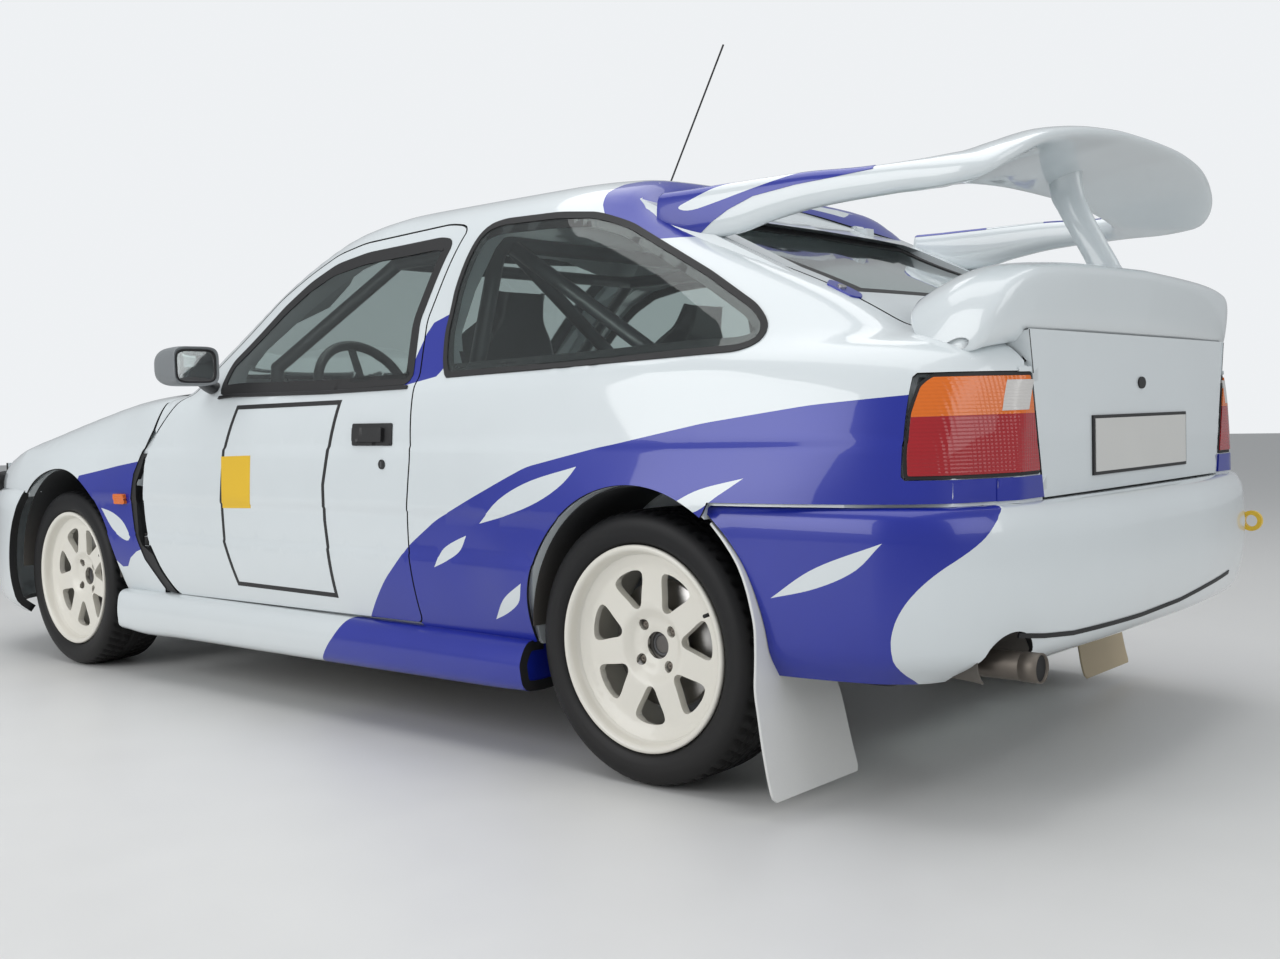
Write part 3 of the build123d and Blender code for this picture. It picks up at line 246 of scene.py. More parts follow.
# %% [markdown]
# ## Finding a panel's edge on the surface
# Panel edges are known from one side: a door's outline from the flank, the bonnet's from
# above, the screens' from the front or back. Each outline is carried onto the surface by
# looking up, at every point, the angle where the surface has that height, that width, or that
# place.
# %% Edges on the surface


def table_rows(place):
    """Distance rows at any places, between the stored ones."""
    step = PLACES[1] - PLACES[0]
    where = np.clip((np.asarray(place, float) - PLACES[0]) / step, 0, len(PLACES) - 1.001)
    cell = where.astype(int)
    part = (where - cell)[:, None]
    return DISTANCE[cell] * (1 - part) + DISTANCE[cell + 1] * part


def first_crossing(rows, target):
    """Angle at which each row first passes its target going down the row."""
    past = rows <= target[:, None]
    cell = np.clip(np.where(past.any(1), past.argmax(1), rows.shape[1] - 1), 1, rows.shape[1] - 1)
    index = np.arange(len(rows))
    high, low = rows[index, cell - 1], rows[index, cell]
    part = np.clip((high - target) / np.where(high == low, 1.0, high - low), 0, 1)
    return ANGLES[cell - 1] + part * (ANGLES[cell] - ANGLES[cell - 1])


def side_points(outline):
    """Outline of (place, height) seen from the side, as (place, girth) on the left flank."""
    outline = np.asarray(outline, float)
    rows = table_rows(outline[:, 0]) * np.cos(ANGLES)
    angle = first_crossing(rows, outline[:, 1] - MIDDLE_Z)
    return np.stack([outline[:, 0], angle * GIRTH], 1)


def top_points(outline):
    """Outline of (place, y) seen from above, as (place, girth)."""
    outline = np.asarray(outline, float)
    rows = -table_rows(outline[:, 0]) * np.sin(ANGLES)
    angle = first_crossing(rows, -np.abs(outline[:, 1]))
    return np.stack([outline[:, 0], angle * GIRTH * np.sign(outline[:, 1])], 1)


def screen_points(outline, low, high, nose):
    """Outline of (y, height) on a screen between two places, as (place, girth)."""
    outline = np.asarray(outline, float)
    y, z = np.abs(outline[:, 0]), outline[:, 1] - MIDDLE_Z
    angle = np.arctan2(y, z)
    chosen = (PLACES >= low) & (PLACES <= high)
    where = np.clip(angle / ANGLES[1], 0, len(ANGLES) - 1.001)
    cell = where.astype(int)
    part = where - cell
    columns = (DISTANCE[chosen][:, cell] * (1 - part) + DISTANCE[chosen][:, cell + 1] * part).T
    places = PLACES[chosen]
    if not nose:
        columns, places = columns[:, ::-1], places[::-1]
    past = columns <= np.hypot(y, z)[:, None]
    hit = np.clip(past.argmax(1), 1, len(places) - 1)
    index = np.arange(len(y))
    near, far = columns[index, hit - 1], columns[index, hit]
    share = np.clip((near - np.hypot(y, z)) / np.where(near == far, 1.0, near - far), 0, 1)
    place = places[hit - 1] + share * (places[hit] - places[hit - 1])
    return np.stack([place, angle * GIRTH * np.sign(outline[:, 0])], 1)


PRESSES = ((721.0, 729.0, 3.5), (566.0, 571.0, -2.5), (459.0, 464.0, 2.5))


def between(table, row, column):
    """Values of a table at broken row and column numbers, from the four stored ones round them."""
    i, j = row.astype(int), column.astype(int)
    deep = (slice(None),) + (None,) * (table.ndim - 2)
    p, q = (row - i)[deep], (column - j)[deep]
    return (table[i, j] * (1 - p) * (1 - q) + table[i + 1, j] * p * (1 - q)
            + table[i, j + 1] * (1 - p) * q + table[i + 1, j + 1] * p * q)


def body_chart(points, lift):
    """(place, girth) to millimetres: y = distance * sin(angle), z = middle + distance * cos(angle)."""
    place, girth = points[:, 0], points[:, 1]
    angle = np.abs(girth) / GIRTH
    step = PLACES[1] - PLACES[0]
    row = np.clip((place - PLACES[0]) / step, 0, len(PLACES) - 1.001)
    column = np.clip(angle / ANGLES[1], 0, len(ANGLES) - 1.001)
    distance = between(DISTANCE, row, column) + lift
    height = MIDDLE_Z + distance * np.cos(angle)
    ends = np.clip((place + 700) / 60, 0, 1) * np.clip((3000 - place) / 120, 0, 1)
    pressed = sum(depth * np.clip((high - height) / (high - low), 0, 1) for low, high, depth in PRESSES)
    distance = distance + ends * pressed
    y = distance * np.sin(angle) * np.where(girth < 0, -1, 1)
    return np.stack([place, y, MIDDLE_Z + distance * np.cos(angle)], 1)


# %% [markdown]
# ## Outlines
# An outline is a short list of points. It is filled in with points every few millimetres, and
# where the real edge is rounded, its corners are cut off by Chaikin's rule: each corner is
# replaced by points a quarter along both of its sides, several times over.
# %% Outline helpers


def rounded(points, times=3, reach=45.0):
    """Chaikin's corner cutting on a closed outline. Long sides first get a point at a reach from each end."""
    points = np.asarray(points, float)
    after = np.roll(points, -1, axis=0)
    length = np.linalg.norm(after - points, axis=1)
    rows = []
    for start, end, size in zip(points, after, length):
        rows.append(start[None])
        if size > 2.5 * reach:
            rows.append(np.stack([start + (end - start) * reach / size, end - (end - start) * reach / size]))
    points = np.concatenate(rows)
    for _ in range(times):
        after = np.roll(points, -1, axis=0)
        points = np.stack([points * 0.75 + after * 0.25, points * 0.25 + after * 0.75], 1).reshape(-1, 2)
    return points


def filled_in(points, step=12.0, closed=True):
    """Points at most a step apart along an outline."""
    points = np.asarray(points, float)
    ends = np.roll(points, -1, axis=0) if closed else points[1:]
    starts = points if closed else points[:-1]
    rows = [start + (end - start) * (np.arange(max(1, math.ceil(np.linalg.norm(end - start) / step)))[:, None]
                                     / max(1, math.ceil(np.linalg.norm(end - start) / step)))
            for start, end in zip(starts, ends)]
    if not closed:
        rows.append(points[-1:])
    return np.concatenate(rows)


def grown(points, distance):
    """A closed outline moved outwards along its normals; a negative distance moves it in."""
    points = np.asarray(points, float)
    before = points - np.roll(points, 1, axis=0)
    after = np.roll(points, -1, axis=0) - points
    area = np.sum(points[:, 0] * np.roll(points[:, 1], -1) - np.roll(points[:, 0], -1) * points[:, 1])
    sign = 1.0 if area > 0 else -1.0
    normal = []
    for edge in (before, after):
        length = np.maximum(np.linalg.norm(edge, axis=1, keepdims=True), 1e-9)
        normal.append(sign * np.stack([edge[:, 1], -edge[:, 0]], 1) / length)
    total = normal[0] + normal[1]
    size = np.maximum((total ** 2).sum(1, keepdims=True), 0.8)
    return points + distance * 2 * total / size


def inside(points, outline):
    """Which points lie inside a closed outline, by counting the sides crossed to their right."""
    x, y = points[:, 0][:, None], points[:, 1][:, None]
    x0, y0 = outline[:, 0][None], outline[:, 1][None]
    x1, y1 = np.roll(outline[:, 0], -1)[None], np.roll(outline[:, 1], -1)[None]
    spans = (y0 > y) != (y1 > y)
    rise = np.where(y1 == y0, 1.0, y1 - y0)
    return (np.sum(spans & (x < (x1 - x0) * (y - y0) / rise + x0), axis=1) % 2) == 1


def arc(centre, radius, start, end, count=40):
    """Points of a circle between two angles in degrees."""
    turn = np.radians(np.linspace(start, end, count))
    return np.stack([centre[0] + radius * np.cos(turn), centre[1] + radius * np.sin(turn)], 1)


def round_turns(count):
    """Equal angles once round, without the closing one."""
    return np.linspace(0, 2 * math.pi, count, endpoint=False)


# %% [markdown]
# ## From arrays to pieces
# Every new piece is an array of points and an array of faces. The helper puts them in a mesh
# in one go, in metres from the car's middle, sets smooth shading, gives the piece its finishes
# and ties it to the CAD body that it rides on.
# %% Mesh helpers


def place_in_car(points):
    """Millimetres from the rear axle to metres in the frame."""
    points = np.array(points, float)
    points[:, 0] += REAR_AXLE_X
    return points / 1000.0


def make_piece(name, points, faces, finishes, body, choice=None, shade_smooth=True):
    """A mesh object from points in millimetres, its faces and one finish number a face."""
    mesh = bpy.data.meshes.new(name)
    faces = faces.tolist() if isinstance(faces, np.ndarray) else faces
    mesh.from_pydata(place_in_car(points), [], faces)
    for material in finishes:
        mesh.materials.append(material)
    if choice is not None:
        mesh.polygons.foreach_set("material_index", np.asarray(choice, np.int32))
    mesh.polygons.foreach_set("use_smooth", np.full(len(mesh.polygons), shade_smooth))
    mesh.update()
    piece = bpy.data.objects.new(name, mesh)
    bpy.context.scene.collection.objects.link(piece)
    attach(piece, body)
    return piece


def wall(piece, thickness, rim=0):
    """Gives a sheet its wall, inwards from the face that is seen, in millimetres, with crisp edges."""
    mesh = piece.data
    used = np.empty(len(mesh.loops), np.int32)
    mesh.loops.foreach_get("edge_index", used)
    border = np.bincount(used, minlength=len(mesh.edges)) == 1
    sharp = mesh.attributes.get("sharp_edge") or mesh.attributes.new("sharp_edge", "BOOLEAN", "EDGE")
    sharp.data.foreach_set("value", border)
    modifier = piece.modifiers.new("wall", "SOLIDIFY")
    modifier.thickness = thickness / 1000.0
    modifier.offset = -1.0
    modifier.use_even_offset = False
    modifier.use_rim = True
    # With the four panel finishes a rim offset of 2 puts the near-black painted shade on the rim, which
    # darkens the panel gaps.
    modifier.material_offset_rim = rim
    return piece


def rounded_edges(piece, width, segments=2, angle=35.0):
    """Rounds the sharp edges of a closed piece."""
    modifier = piece.modifiers.new("edges", "BEVEL")
    modifier.width = width / 1000.0
    modifier.segments = segments
    modifier.limit_method = "ANGLE"
    modifier.angle_limit = math.radians(angle)
    modifier.harden_normals = False
    return piece


def sheet_mesh(outline, holes=(), marks=(), step=20.0, creases=()):
    """Triangles filling an outline round its holes, cut along marks and creases, each with a mark number."""
    outline = np.asarray(outline, float)
    loops = [outline, *[np.asarray(hole, float) for hole in holes]]
    lines = [*loops, *[np.asarray(mark, float) for mark in marks],
             *[np.asarray(line, float) for line in creases]]
    low, high = outline.min(0), outline.max(0)
    xs = np.arange(low[0] + step * 0.5, high[0], step)
    ys = np.arange(low[1] + step * 0.5, high[1], step)
    grid = np.stack(np.meshgrid(xs, ys, indexing="ij"), -1).reshape(-1, 2)
    keep = inside(grid, outline)
    for hole in loops[1:]:
        keep &= ~inside(grid, hole)
    grid = grid[keep]
    border = np.concatenate(lines)
    near = np.zeros(len(grid), bool)
    for start in range(0, len(border), 400):
        part = border[start:start + 400]
        near |= (np.abs(grid[:, None, 0] - part[None, :, 0]) + np.abs(grid[:, None, 1] - part[None, :, 1])
                 ).min(1) < step * 0.55
    grid = grid[~near]
    points = np.concatenate([border, grid])
    edges, first = [], 0
    for number, line in enumerate(lines):
        numbers = np.arange(len(line)) + first
        pairs = np.stack([numbers, np.roll(numbers, -1)], 1)
        edges.append(pairs if number < len(lines) - len(creases) else pairs[:-1])
        first += len(line)
    edges = np.concatenate(edges)
    point_list, edge_list = [Vector(p) for p in points.tolist()], [tuple(e) for e in edges.tolist()]
    result = delaunay_2d_cdt(point_list, edge_list, [], 0, 1e-4)
    flat = np.array([tuple(v) for v in result[0]])
    faces = np.array([tuple(f) for f in result[2]])
    corners = flat[faces]
    middle = corners.mean(1)
    keep = inside(middle, outline)
    for hole in loops[1:]:
        keep &= ~inside(middle, hole)
    faces, corners, middle = faces[keep], corners[keep], middle[keep]
    turned = np.cross(corners[:, 1] - corners[:, 0], corners[:, 2] - corners[:, 0]) < 0
    faces[turned] = faces[turned][:, ::-1]
    choice = np.zeros(len(faces), int)
    for mark in marks:
        choice ^= inside(middle, np.asarray(mark, float))
    used, renumbered = np.unique(faces, return_inverse=True)
    return flat[used], renumbered.reshape(-1, 3), choice


def skin(name, outline, body, finishes, holes=(), marks=(), lift=4.0, thickness=6.0,
         step=20.0, chart=body_chart, mirror=False, creases=()):
    """A panel on a chart: its outline filled, cut at the paint's edges, lifted off the solid and walled."""
    flat, faces, choice = sheet_mesh(outline, holes, marks, step, creases)
    points = chart(flat, lift)
    if mirror:
        points = points * (1, -1, 1)
        faces = faces[:, ::-1]
    piece = make_piece(name, points, faces, finishes, body, choice)
    # Four finishes mean paint on the face and near-black painted shade on the rim.
    return wall(piece, thickness, 2 if len(finishes) == 4 else 0)


def grid_faces(rows, columns, closed_rows=False, closed_columns=False):
    """Quads of a grid of points, numbered row by row."""
    i = np.arange(rows if closed_rows else rows - 1)
    j = np.arange(columns if closed_columns else columns - 1)
    i, j = np.meshgrid(i, j, indexing="ij")
    a, b = i * columns + j, ((i + 1) % rows) * columns + j
    c, d = ((i + 1) % rows) * columns + (j + 1) % columns, i * columns + (j + 1) % columns
    return np.stack([a, b, c, d], -1).reshape(-1, 4)


# %% [markdown]
# ## Finishes
# Every finish is a Principled shader with its plain colours on its own sockets and a little
# noise for what a real surface has: paint has a faint orange peel and dust, moulded plastic a
# grain, cast metal a rough skin. The noise reads Object coordinates, which are metres here, so
# its scale is that of the real thing.
# %% Finish helper


def finish(name, colour, roughness=0.5, metallic=0.0, coat=0.0, grain=400.0, depth=0.05, shade=0.06,
           wear=0.08, patch=6.0, dust=0.0, ribs=(), **sockets):
    """A shader whose colour and gloss drift a little over patches, with a fine grain as bump."""
    material = bpy.data.materials.new(name)
    material.use_nodes = True
    nodes, links = material.node_tree.nodes, material.node_tree.links
    shader = nodes["Principled BSDF"]
    shader.inputs["Metallic"].default_value = metallic
    shader.inputs["Coat Weight"].default_value = coat
    shader.inputs["Coat Roughness"].default_value = 0.04
    for socket, value in sockets.items():
        shader.inputs[socket.replace("_", " ")].default_value = value
    where = nodes.new("ShaderNodeTexCoord")
    broad = nodes.new("ShaderNodeTexNoise")
    broad.inputs["Scale"].default_value = patch
    broad.inputs["Detail"].default_value = 4.0
    links.new(where.outputs["Object"], broad.inputs["Vector"])
    tint = nodes.new("ShaderNodeMix")
    tint.data_type = "RGBA"
    tint.inputs[6].default_value = (*[c * (1 - shade) for c in colour], 1)
    tint.inputs[7].default_value = (*[min(1.0, c * (1 + shade)) for c in colour], 1)
    links.new(broad.outputs["Fac"], tint.inputs[0])
    result = tint.outputs[2]
    if dust:
        split = nodes.new("ShaderNodeSeparateXYZ")
        links.new(where.outputs["Object"], split.inputs[0])
        low = nodes.new("ShaderNodeMapRange")
        low.inputs["From Min"].default_value = 0.55
        low.inputs["From Max"].default_value = 0.1
        links.new(split.outputs["Z"], low.inputs["Value"])
        share = nodes.new("ShaderNodeMath")
        share.operation = "MULTIPLY"
        share.inputs[1].default_value = dust
        links.new(low.outputs["Result"], share.inputs[0])
        dirt = nodes.new("ShaderNodeMix")
        dirt.data_type = "RGBA"
        dirt.inputs[7].default_value = (0.30, 0.26, 0.21, 1)
        links.new(share.outputs[0], dirt.inputs[0])
        links.new(result, dirt.inputs[6])
        result = dirt.outputs[2]
    links.new(result, shader.inputs["Base Color"])
    gloss = nodes.new("ShaderNodeMapRange")
    gloss.inputs["To Min"].default_value = max(0.0, roughness - wear)
    gloss.inputs["To Max"].default_value = min(1.0, roughness + wear)
    links.new(broad.outputs["Fac"], gloss.inputs["Value"])
    links.new(gloss.outputs["Result"], shader.inputs["Roughness"])
    fine = nodes.new("ShaderNodeTexNoise")
    fine.inputs["Scale"].default_value = grain
    fine.inputs["Detail"].default_value = 3.0
    links.new(where.outputs["Object"], fine.inputs["Vector"])
    bump = nodes.new("ShaderNodeBump")
    bump.inputs["Strength"].default_value = depth
    bump.inputs["Distance"].default_value = 0.001
    links.new(fine.outputs["Fac"], bump.inputs["Height"])
    for direction, period in ribs:
        wave = nodes.new("ShaderNodeTexWave")
        wave.bands_direction = direction
        wave.inputs["Scale"].default_value = 0.3142 / period
        links.new(where.outputs["Object"], wave.inputs["Vector"])
        ridge = nodes.new("ShaderNodeBump")
        ridge.inputs["Strength"].default_value = 0.5
        ridge.inputs["Distance"].default_value = 0.0008
        links.new(wave.outputs["Fac"], ridge.inputs["Height"])
        links.new(bump.outputs["Normal"], ridge.inputs["Normal"])
        bump = ridge
    links.new(bump.outputs["Normal"], shader.inputs["Normal"])
    return material


# %% Finishes of this car
WHITE = finish("white_paint", (0.70, 0.75, 0.77), 0.30, coat=1.0, grain=260.0, depth=0.01, shade=0.02,
               wear=0.05, dust=0.10)
BLUE = finish("blue_paint", (0.008, 0.020, 0.32), 0.32, metallic=0.1, coat=0.6, grain=260.0, depth=0.01,
              shade=0.08, wear=0.04)
BLACK = finish("black_trim", (0.012, 0.012, 0.013), 0.45, grain=900.0, depth=0.15, shade=0.2)
RUBBER = finish("seal_rubber", (0.010, 0.010, 0.011), 0.60, grain=700.0, depth=0.2, shade=0.2)
UNDER = finish("underbody_coat", (0.035, 0.036, 0.038), 0.75, grain=120.0, depth=0.5, shade=0.25, dust=0.5)
GLASS = finish("tinted_glass", (0.78, 0.86, 0.84), 0.02, grain=3.0, depth=0.0, shade=0.01, wear=0.005,
               Transmission_Weight=1.0, IOR=1.45)
WHEEL = finish("wheel_enamel", (0.80, 0.775, 0.70), 0.38, coat=0.35, grain=220.0, depth=0.06, shade=0.04,
               dust=0.10)
TYRE = finish("tyre_rubber", (0.006, 0.006, 0.007), 0.50, grain=350.0, depth=0.2, shade=0.25, dust=0.02,
              Specular_IOR_Level=0.3)
STEEL = finish("chassis_steel", (0.10, 0.10, 0.105), 0.48, metallic=0.7, grain=180.0, depth=0.35, shade=0.3,
               dust=0.4)
DISC_STEEL = finish("disc_steel", (0.42, 0.41, 0.40), 0.32, metallic=1.0, grain=500.0, depth=0.2, shade=0.15)
SOOTY = finish("sooty_steel", (0.16, 0.14, 0.12), 0.5, metallic=0.8, grain=140.0, depth=0.3, shade=0.35)
IRON = finish("engine_iron", (0.13, 0.13, 0.135), 0.6, metallic=0.5, grain=90.0, depth=0.6, shade=0.3)
ALLOY = finish("guard_alloy", (0.55, 0.56, 0.57), 0.42, metallic=1.0, grain=70.0, depth=0.4, shade=0.2)
TUBE = finish("cage_tube", (0.05, 0.052, 0.056), 0.4, coat=0.4, grain=200.0, depth=0.08, shade=0.15)
CLOTH = finish("seat_cloth", (0.018, 0.019, 0.022), 0.9, grain=900.0, depth=0.8, shade=0.25, Sheen_Weight=0.3)
CABIN = finish("cabin_plastic", (0.028, 0.028, 0.030), 0.62, grain=500.0, depth=0.35, shade=0.2)
FLAP = finish("white_flap", (0.74, 0.75, 0.74), 0.50, grain=120.0, depth=0.2, shade=0.05, dust=0.14)
HOOK = finish("hook_yellow", (0.80, 0.52, 0.03), 0.4, coat=0.3, grain=200.0, depth=0.1, shade=0.08)
RED_LENS = finish("red_lens", (0.36, 0.006, 0.012), 0.12, coat=0.5, grain=60.0, depth=0.05, shade=0.1,
                  wear=0.04, ribs=(("Z", 0.007), ("Y", 0.009)))
AMBER_LENS = finish("amber_lens", (0.72, 0.15, 0.008), 0.12, coat=0.5, grain=60.0, depth=0.05, shade=0.08,
                    wear=0.04, ribs=(("Z", 0.007), ("Y", 0.009)))
CLEAR_LENS = finish("clear_lens", (0.62, 0.60, 0.58), 0.12, coat=0.6, grain=60.0, depth=0.05, shade=0.05,
                    wear=0.04, ribs=(("Z", 0.006),))
MIRROR = finish("mirror_face", (0.85, 0.86, 0.87), 0.04, metallic=1.0, grain=5.0, depth=0.0, shade=0.01,
                wear=0.01)
GREY = finish("grey_housing", (0.20, 0.215, 0.225), 0.45, grain=600.0, depth=0.25, shade=0.08)
YELLOW = finish("yellow_panel", (0.80, 0.50, 0.02), 0.45, grain=200.0, depth=0.05, shade=0.05)
PRINT = finish("glass_print", (0.010, 0.010, 0.011), 0.25, grain=900.0, depth=0.05, shade=0.1)
# Near-black painted shade, laid on panel rims, slot walls, hinges, louvre gaps, the pipe's mouth and the
# walls behind openings, where a real car shows the shade of a gap or recess.
RECESS_SHADE = finish("shut_line_seal", (0.008, 0.008, 0.009), 0.7, grain=500.0, depth=0.1)
# Panel finishes: white and blue paint on the face, near-black painted shade on the rims so the gaps read
# dark.
PAINT_AND_RIM_SHADE = [WHITE, BLUE, RECESS_SHADE, RECESS_SHADE]
PLATE = finish("blank_plate", (0.62, 0.62, 0.60), 0.4, grain=200.0, depth=0.1, shade=0.04)

NODE_FINISH = {
    "white_paint": WHITE, "underbody": UNDER, "black_plastic": BLACK, "cabin_plastic": CABIN,
    "window_glass": GLASS, "lamp_lens": RED_LENS, "headlamp_lens": CLEAR_LENS, "chassis_steel": STEEL,
    "exhaust_steel": SOOTY, "engine_iron": IRON, "guard_alloy": ALLOY, "cage_paint": TUBE,
    "seat_fabric": CLOTH, "flap_rubber": FLAP, "tow_paint": HOOK, "rim_paint": WHEEL, "tyre": TYRE,
}
for name, node in frame["nodes"].items():
    for entry in node.material_slots:
        for key, material in NODE_FINISH.items():
            if (entry.material and entry.material.name.startswith(key)
                    and entry.material not in NODE_FINISH.values()):
                entry.material = material
                break
print("finishes", len(bpy.data.materials), "nodes", len(frame["nodes"]))

# %% [markdown]
# ## The livery
# White paint with deep blue over the rear lower quarter. The colours are painted on the metal
# across the panel gaps, so the edges are kept as outlines in the side view and every panel is
# cut along the same lines. That gives a crisp edge at any distance, which a soft mask in a
# shader doesn't.
# %% Livery outlines
BLUE_SIDE = (
    (957, 275), (913, 330), (860, 390), (752, 484), (646, 549), (524, 600), (318, 679), (101, 721),
    (-176, 769), (-420, 799), (-635, 815), (-760, 822), (-760, 200), (985, 200),
)
LEAVES = (
    ((485, 546), (408, 604), (307, 646), (156, 681), (182, 652), (261, 607), (376, 570)),
    ((657, 435), (625, 478), (569, 505), (536, 516), (559, 481), (604, 455)),
    ((450, 324), (407, 374), (333, 418), (347, 378), (392, 347)),
    ((-108, 600), (-190, 637), (-293, 660), (-240, 628), (-165, 590)),
)
LEAF_TIPS = (3, 3, 2, 2)
PILLAR_BLUES = (
    ((795, 876), (784, 935), (756, 1030), (605, 1080), (640, 980), (668, 898)),
    ((286, 1330), (262, 1262), (92, 1178), (-60, 1180), (-60, 1240), (150, 1348), (235, 1350)),
)
WING_BLUE = (
    (2411, 640), (2285, 657), (2167, 674), (2030, 690), (2000, 560), (2010, 430), (2113, 400), (2165, 344),
    (2232, 389), (2303, 466), (2349, 546),
)
WING_SLASH = ((2268, 540), (2200, 470), (2125, 440), (2112, 452), (2150, 500), (2215, 530))
BUMPER_LEAF = ((-349, 429), (-443, 489), (-585, 543), (-531, 490), (-442, 451))


def on_flank(outline, times=2):
    """A paint outline of the side view as a closed line on the body's surface."""
    return side_points(filled_in(rounded(outline, times), 12.0))


def leaf_outline(points, tip):
    """A leaf with two pointed tips, at its first point and at the one numbered tip, and curved sides."""
    points = np.asarray(points, float)
    halves = [points[:tip + 1], np.concatenate([points[tip:], points[:1]])]
    steps = np.linspace(0, 1, 16)[:-1]
    return np.concatenate([smooth(along(half), half, steps) for half in halves])


leaves = [side_points(leaf_outline(leaf, tip)) for leaf, tip in zip(LEAVES, LEAF_TIPS)]
flank_marks = [on_flank(BLUE_SIDE), *leaves, *[on_flank(area, 1) for area in PILLAR_BLUES]]
press_lines = [side_points(np.stack([np.arange(-744.0, 3200.0, 14.0), np.full(282, height)], 1))
               for low, high, depth in PRESSES for height in (low, high)]
print("livery lines", len(flank_marks), "press lines", len(press_lines))

# %% [markdown]
# ## Body panels
# The roof, pillars and rear quarters are one pressing, so they are one piece that runs over
# the top from one arch to the other. Doors, wings, bonnet and tailgate are pieces of their
# own, a few millimetres short of each other, with near-black painted shade on their rims, which
# gives the dark shut lines of a real car.
# %% Panel outlines
DOOR_OUTLINE = (
    (1892, 285), (1960, 355), (2022, 460), (2031, 570), (2016, 690), (1960, 769), (1858, 872),
    (1700, 990), (1482, 1151), (1361, 1210), (1254, 1256), (1135, 1276), (790, 1290),
    (712, 1276), (778, 1040), (744, 880), (737, 707), (756, 570), (756, 470), (735, 292),
)
DOOR_WINDOW = (
    (1648, 881), (1560, 886), (1110, 881), (772, 885), (808, 1040), (752, 1240), (800, 1252),
    (1100, 1242), (1230, 1222), (1335, 1180), (1440, 1118), (1640, 968),
)
QUARTER_WINDOW = (
    (650, 898), (684, 1000), (684, 1115), (660, 1222), (632, 1262), (580, 1272), (393, 1266),
    (265, 1252), (169, 1220), (-90, 1084), (-228, 1002), (-268, 962), (-262, 930), (-225, 918),
    (143, 908),
)
SCREEN = ((712, 935), (572, 1288), (430, 1322), (-430, 1322), (-572, 1288), (-712, 935))
BACKLIGHT = ((530, 1032), (494, 1238), (460, 1254), (-460, 1254), (-494, 1238), (-530, 1032))
GAP = 5.0
SIDES = (("left", False), ("right", True))
SIGNS = (("left", 1), ("right", -1))

door_edge = filled_in(rounded(DOOR_OUTLINE, 2), 12.0)
door_hole = filled_in(rounded(DOOR_WINDOW, 2), 12.0)
quarter_hole = filled_in(rounded(QUARTER_WINDOW, 2), 12.0)
screen_hole = screen_points(filled_in(SCREEN, 12.0), 1250, 2150, True)
back_hole = screen_points(filled_in(BACKLIGHT, 12.0), -640, 240, False)


def flipped(outline):
    """The same outline on the right side of the body's chart."""
    return np.asarray(outline)[::-1] * (1, -1)


# %% Roof, pillars and quarters


def stretch(outline, step=12.0):
    """An open run of outline points, filled in."""
    return filled_in(outline, step, closed=False)


def part_of(outline, start, end):
    """The run of a closed outline from the point nearest start to the one nearest end."""
    first = np.hypot(*(outline - start).T).argmin()
    moved = np.roll(outline, -first, axis=0)
    return moved[:np.hypot(*(moved - end).T).argmin() + 1]


REAR_ARCH = arc((0, ARCH_Z), 327, 126, -6, 60)
door_opening = part_of(grown(door_edge, GAP)[::-1], (732, 286), (1966, 778))
left_edge = np.concatenate([
    top_points(stretch([(158, 1), (156, 300), (156, 571)])),
    top_points(stretch([(150, 572), (-400, 572), (-560, 560), (-736, 546)])),
    side_points(stretch([(-741, 853), (-610, 853), (-604, 846), (-604, 662), (-610, 655), (-741, 655),
                         (-741, 612), (-210, 612), (-200, 592)])),
    side_points(REAR_ARCH),
    side_points(stretch([(332, 281), (726, 281)])),
    side_points(door_opening),
    side_points(stretch([(1968, 784), (1936, 862)])),
    top_points(stretch([(1924, 720), (1920, 562), (2026, 562), (2026, 1)])),
])
shell_outline = np.concatenate([left_edge, flipped(left_edge)])
left_quarter = side_points(quarter_hole)
both_sides = [mark for line in flank_marks for mark in (line, flipped(line))]
shell = skin("roof_and_quarters", shell_outline, "chassis", PAINT_AND_RIM_SHADE,
             holes=[left_quarter, flipped(left_quarter), screen_hole], marks=both_sides,
             creases=[*press_lines, *[flipped(line) for line in press_lines]])
print("shell faces", len(shell.data.polygons))

# %% [markdown]
# ## Doors, wings, lids and the vent slot
# The door's hinges sit in a dark slot behind the front wheel. One flush plate over the slot would
# be simpler, but the open door would cut it. So a narrow black strip lies flush, and a lip and a back
# wall lie deep enough for the door's front edge to swing past them. All three are near-black painted
# shade for the dark inside of the slot.
# %% Doors, wings, bonnet and tailgate
WING_REAR = ((1970, 296), (2050, 384), (2090, 475), (2099, 567), (2080, 650), (2048, 700))
SLOT_FRONT = ((1975, 290), (2056, 380), (2098, 472), (2108, 567), (2088, 655), (2052, 712), (1990, 712))
wing_outline = np.concatenate([
    side_points(stretch([(1978, 283), *WING_REAR, (1982, 784), (1944, 864)])),
    top_points(stretch([(1930, 720), (1926, 568), (2022, 568), (2022, 656), (2124, 656), (2130, 648),
                        (3186, 572)])),
    side_points(stretch([(3188, 690), (3188, 641), (3114, 641), (3114, 580), (2780, 580)])),
    side_points(arc((WHEELBASE, ARCH_Z), 346, 49, 185.6, 60)),
    side_points(stretch([(2200, 283), (1990, 283)])),
])
SLOT_STRIP = ((2026, 700), (2046, 660), (2070, 620), (2073, 560), (2072, 462), (2056, 427), (2026, 412),
              (2004, 400), (1974, 350), (1908, 284))
SLOT_BACK = ((2080, 405), (2080, 655), (2036, 655), (2044, 560), (2039, 462), (2012, 405))
slot_outline = side_points(stretch([*SLOT_FRONT, *SLOT_STRIP]))
slot_back_outline = side_points(stretch([*SLOT_BACK]))
SLOT_LIP = ((2030, 408), (2060, 425), (2073, 440), (2073, 560), (2071, 622), (2058, 650), (2082, 650),
            (2082, 408))
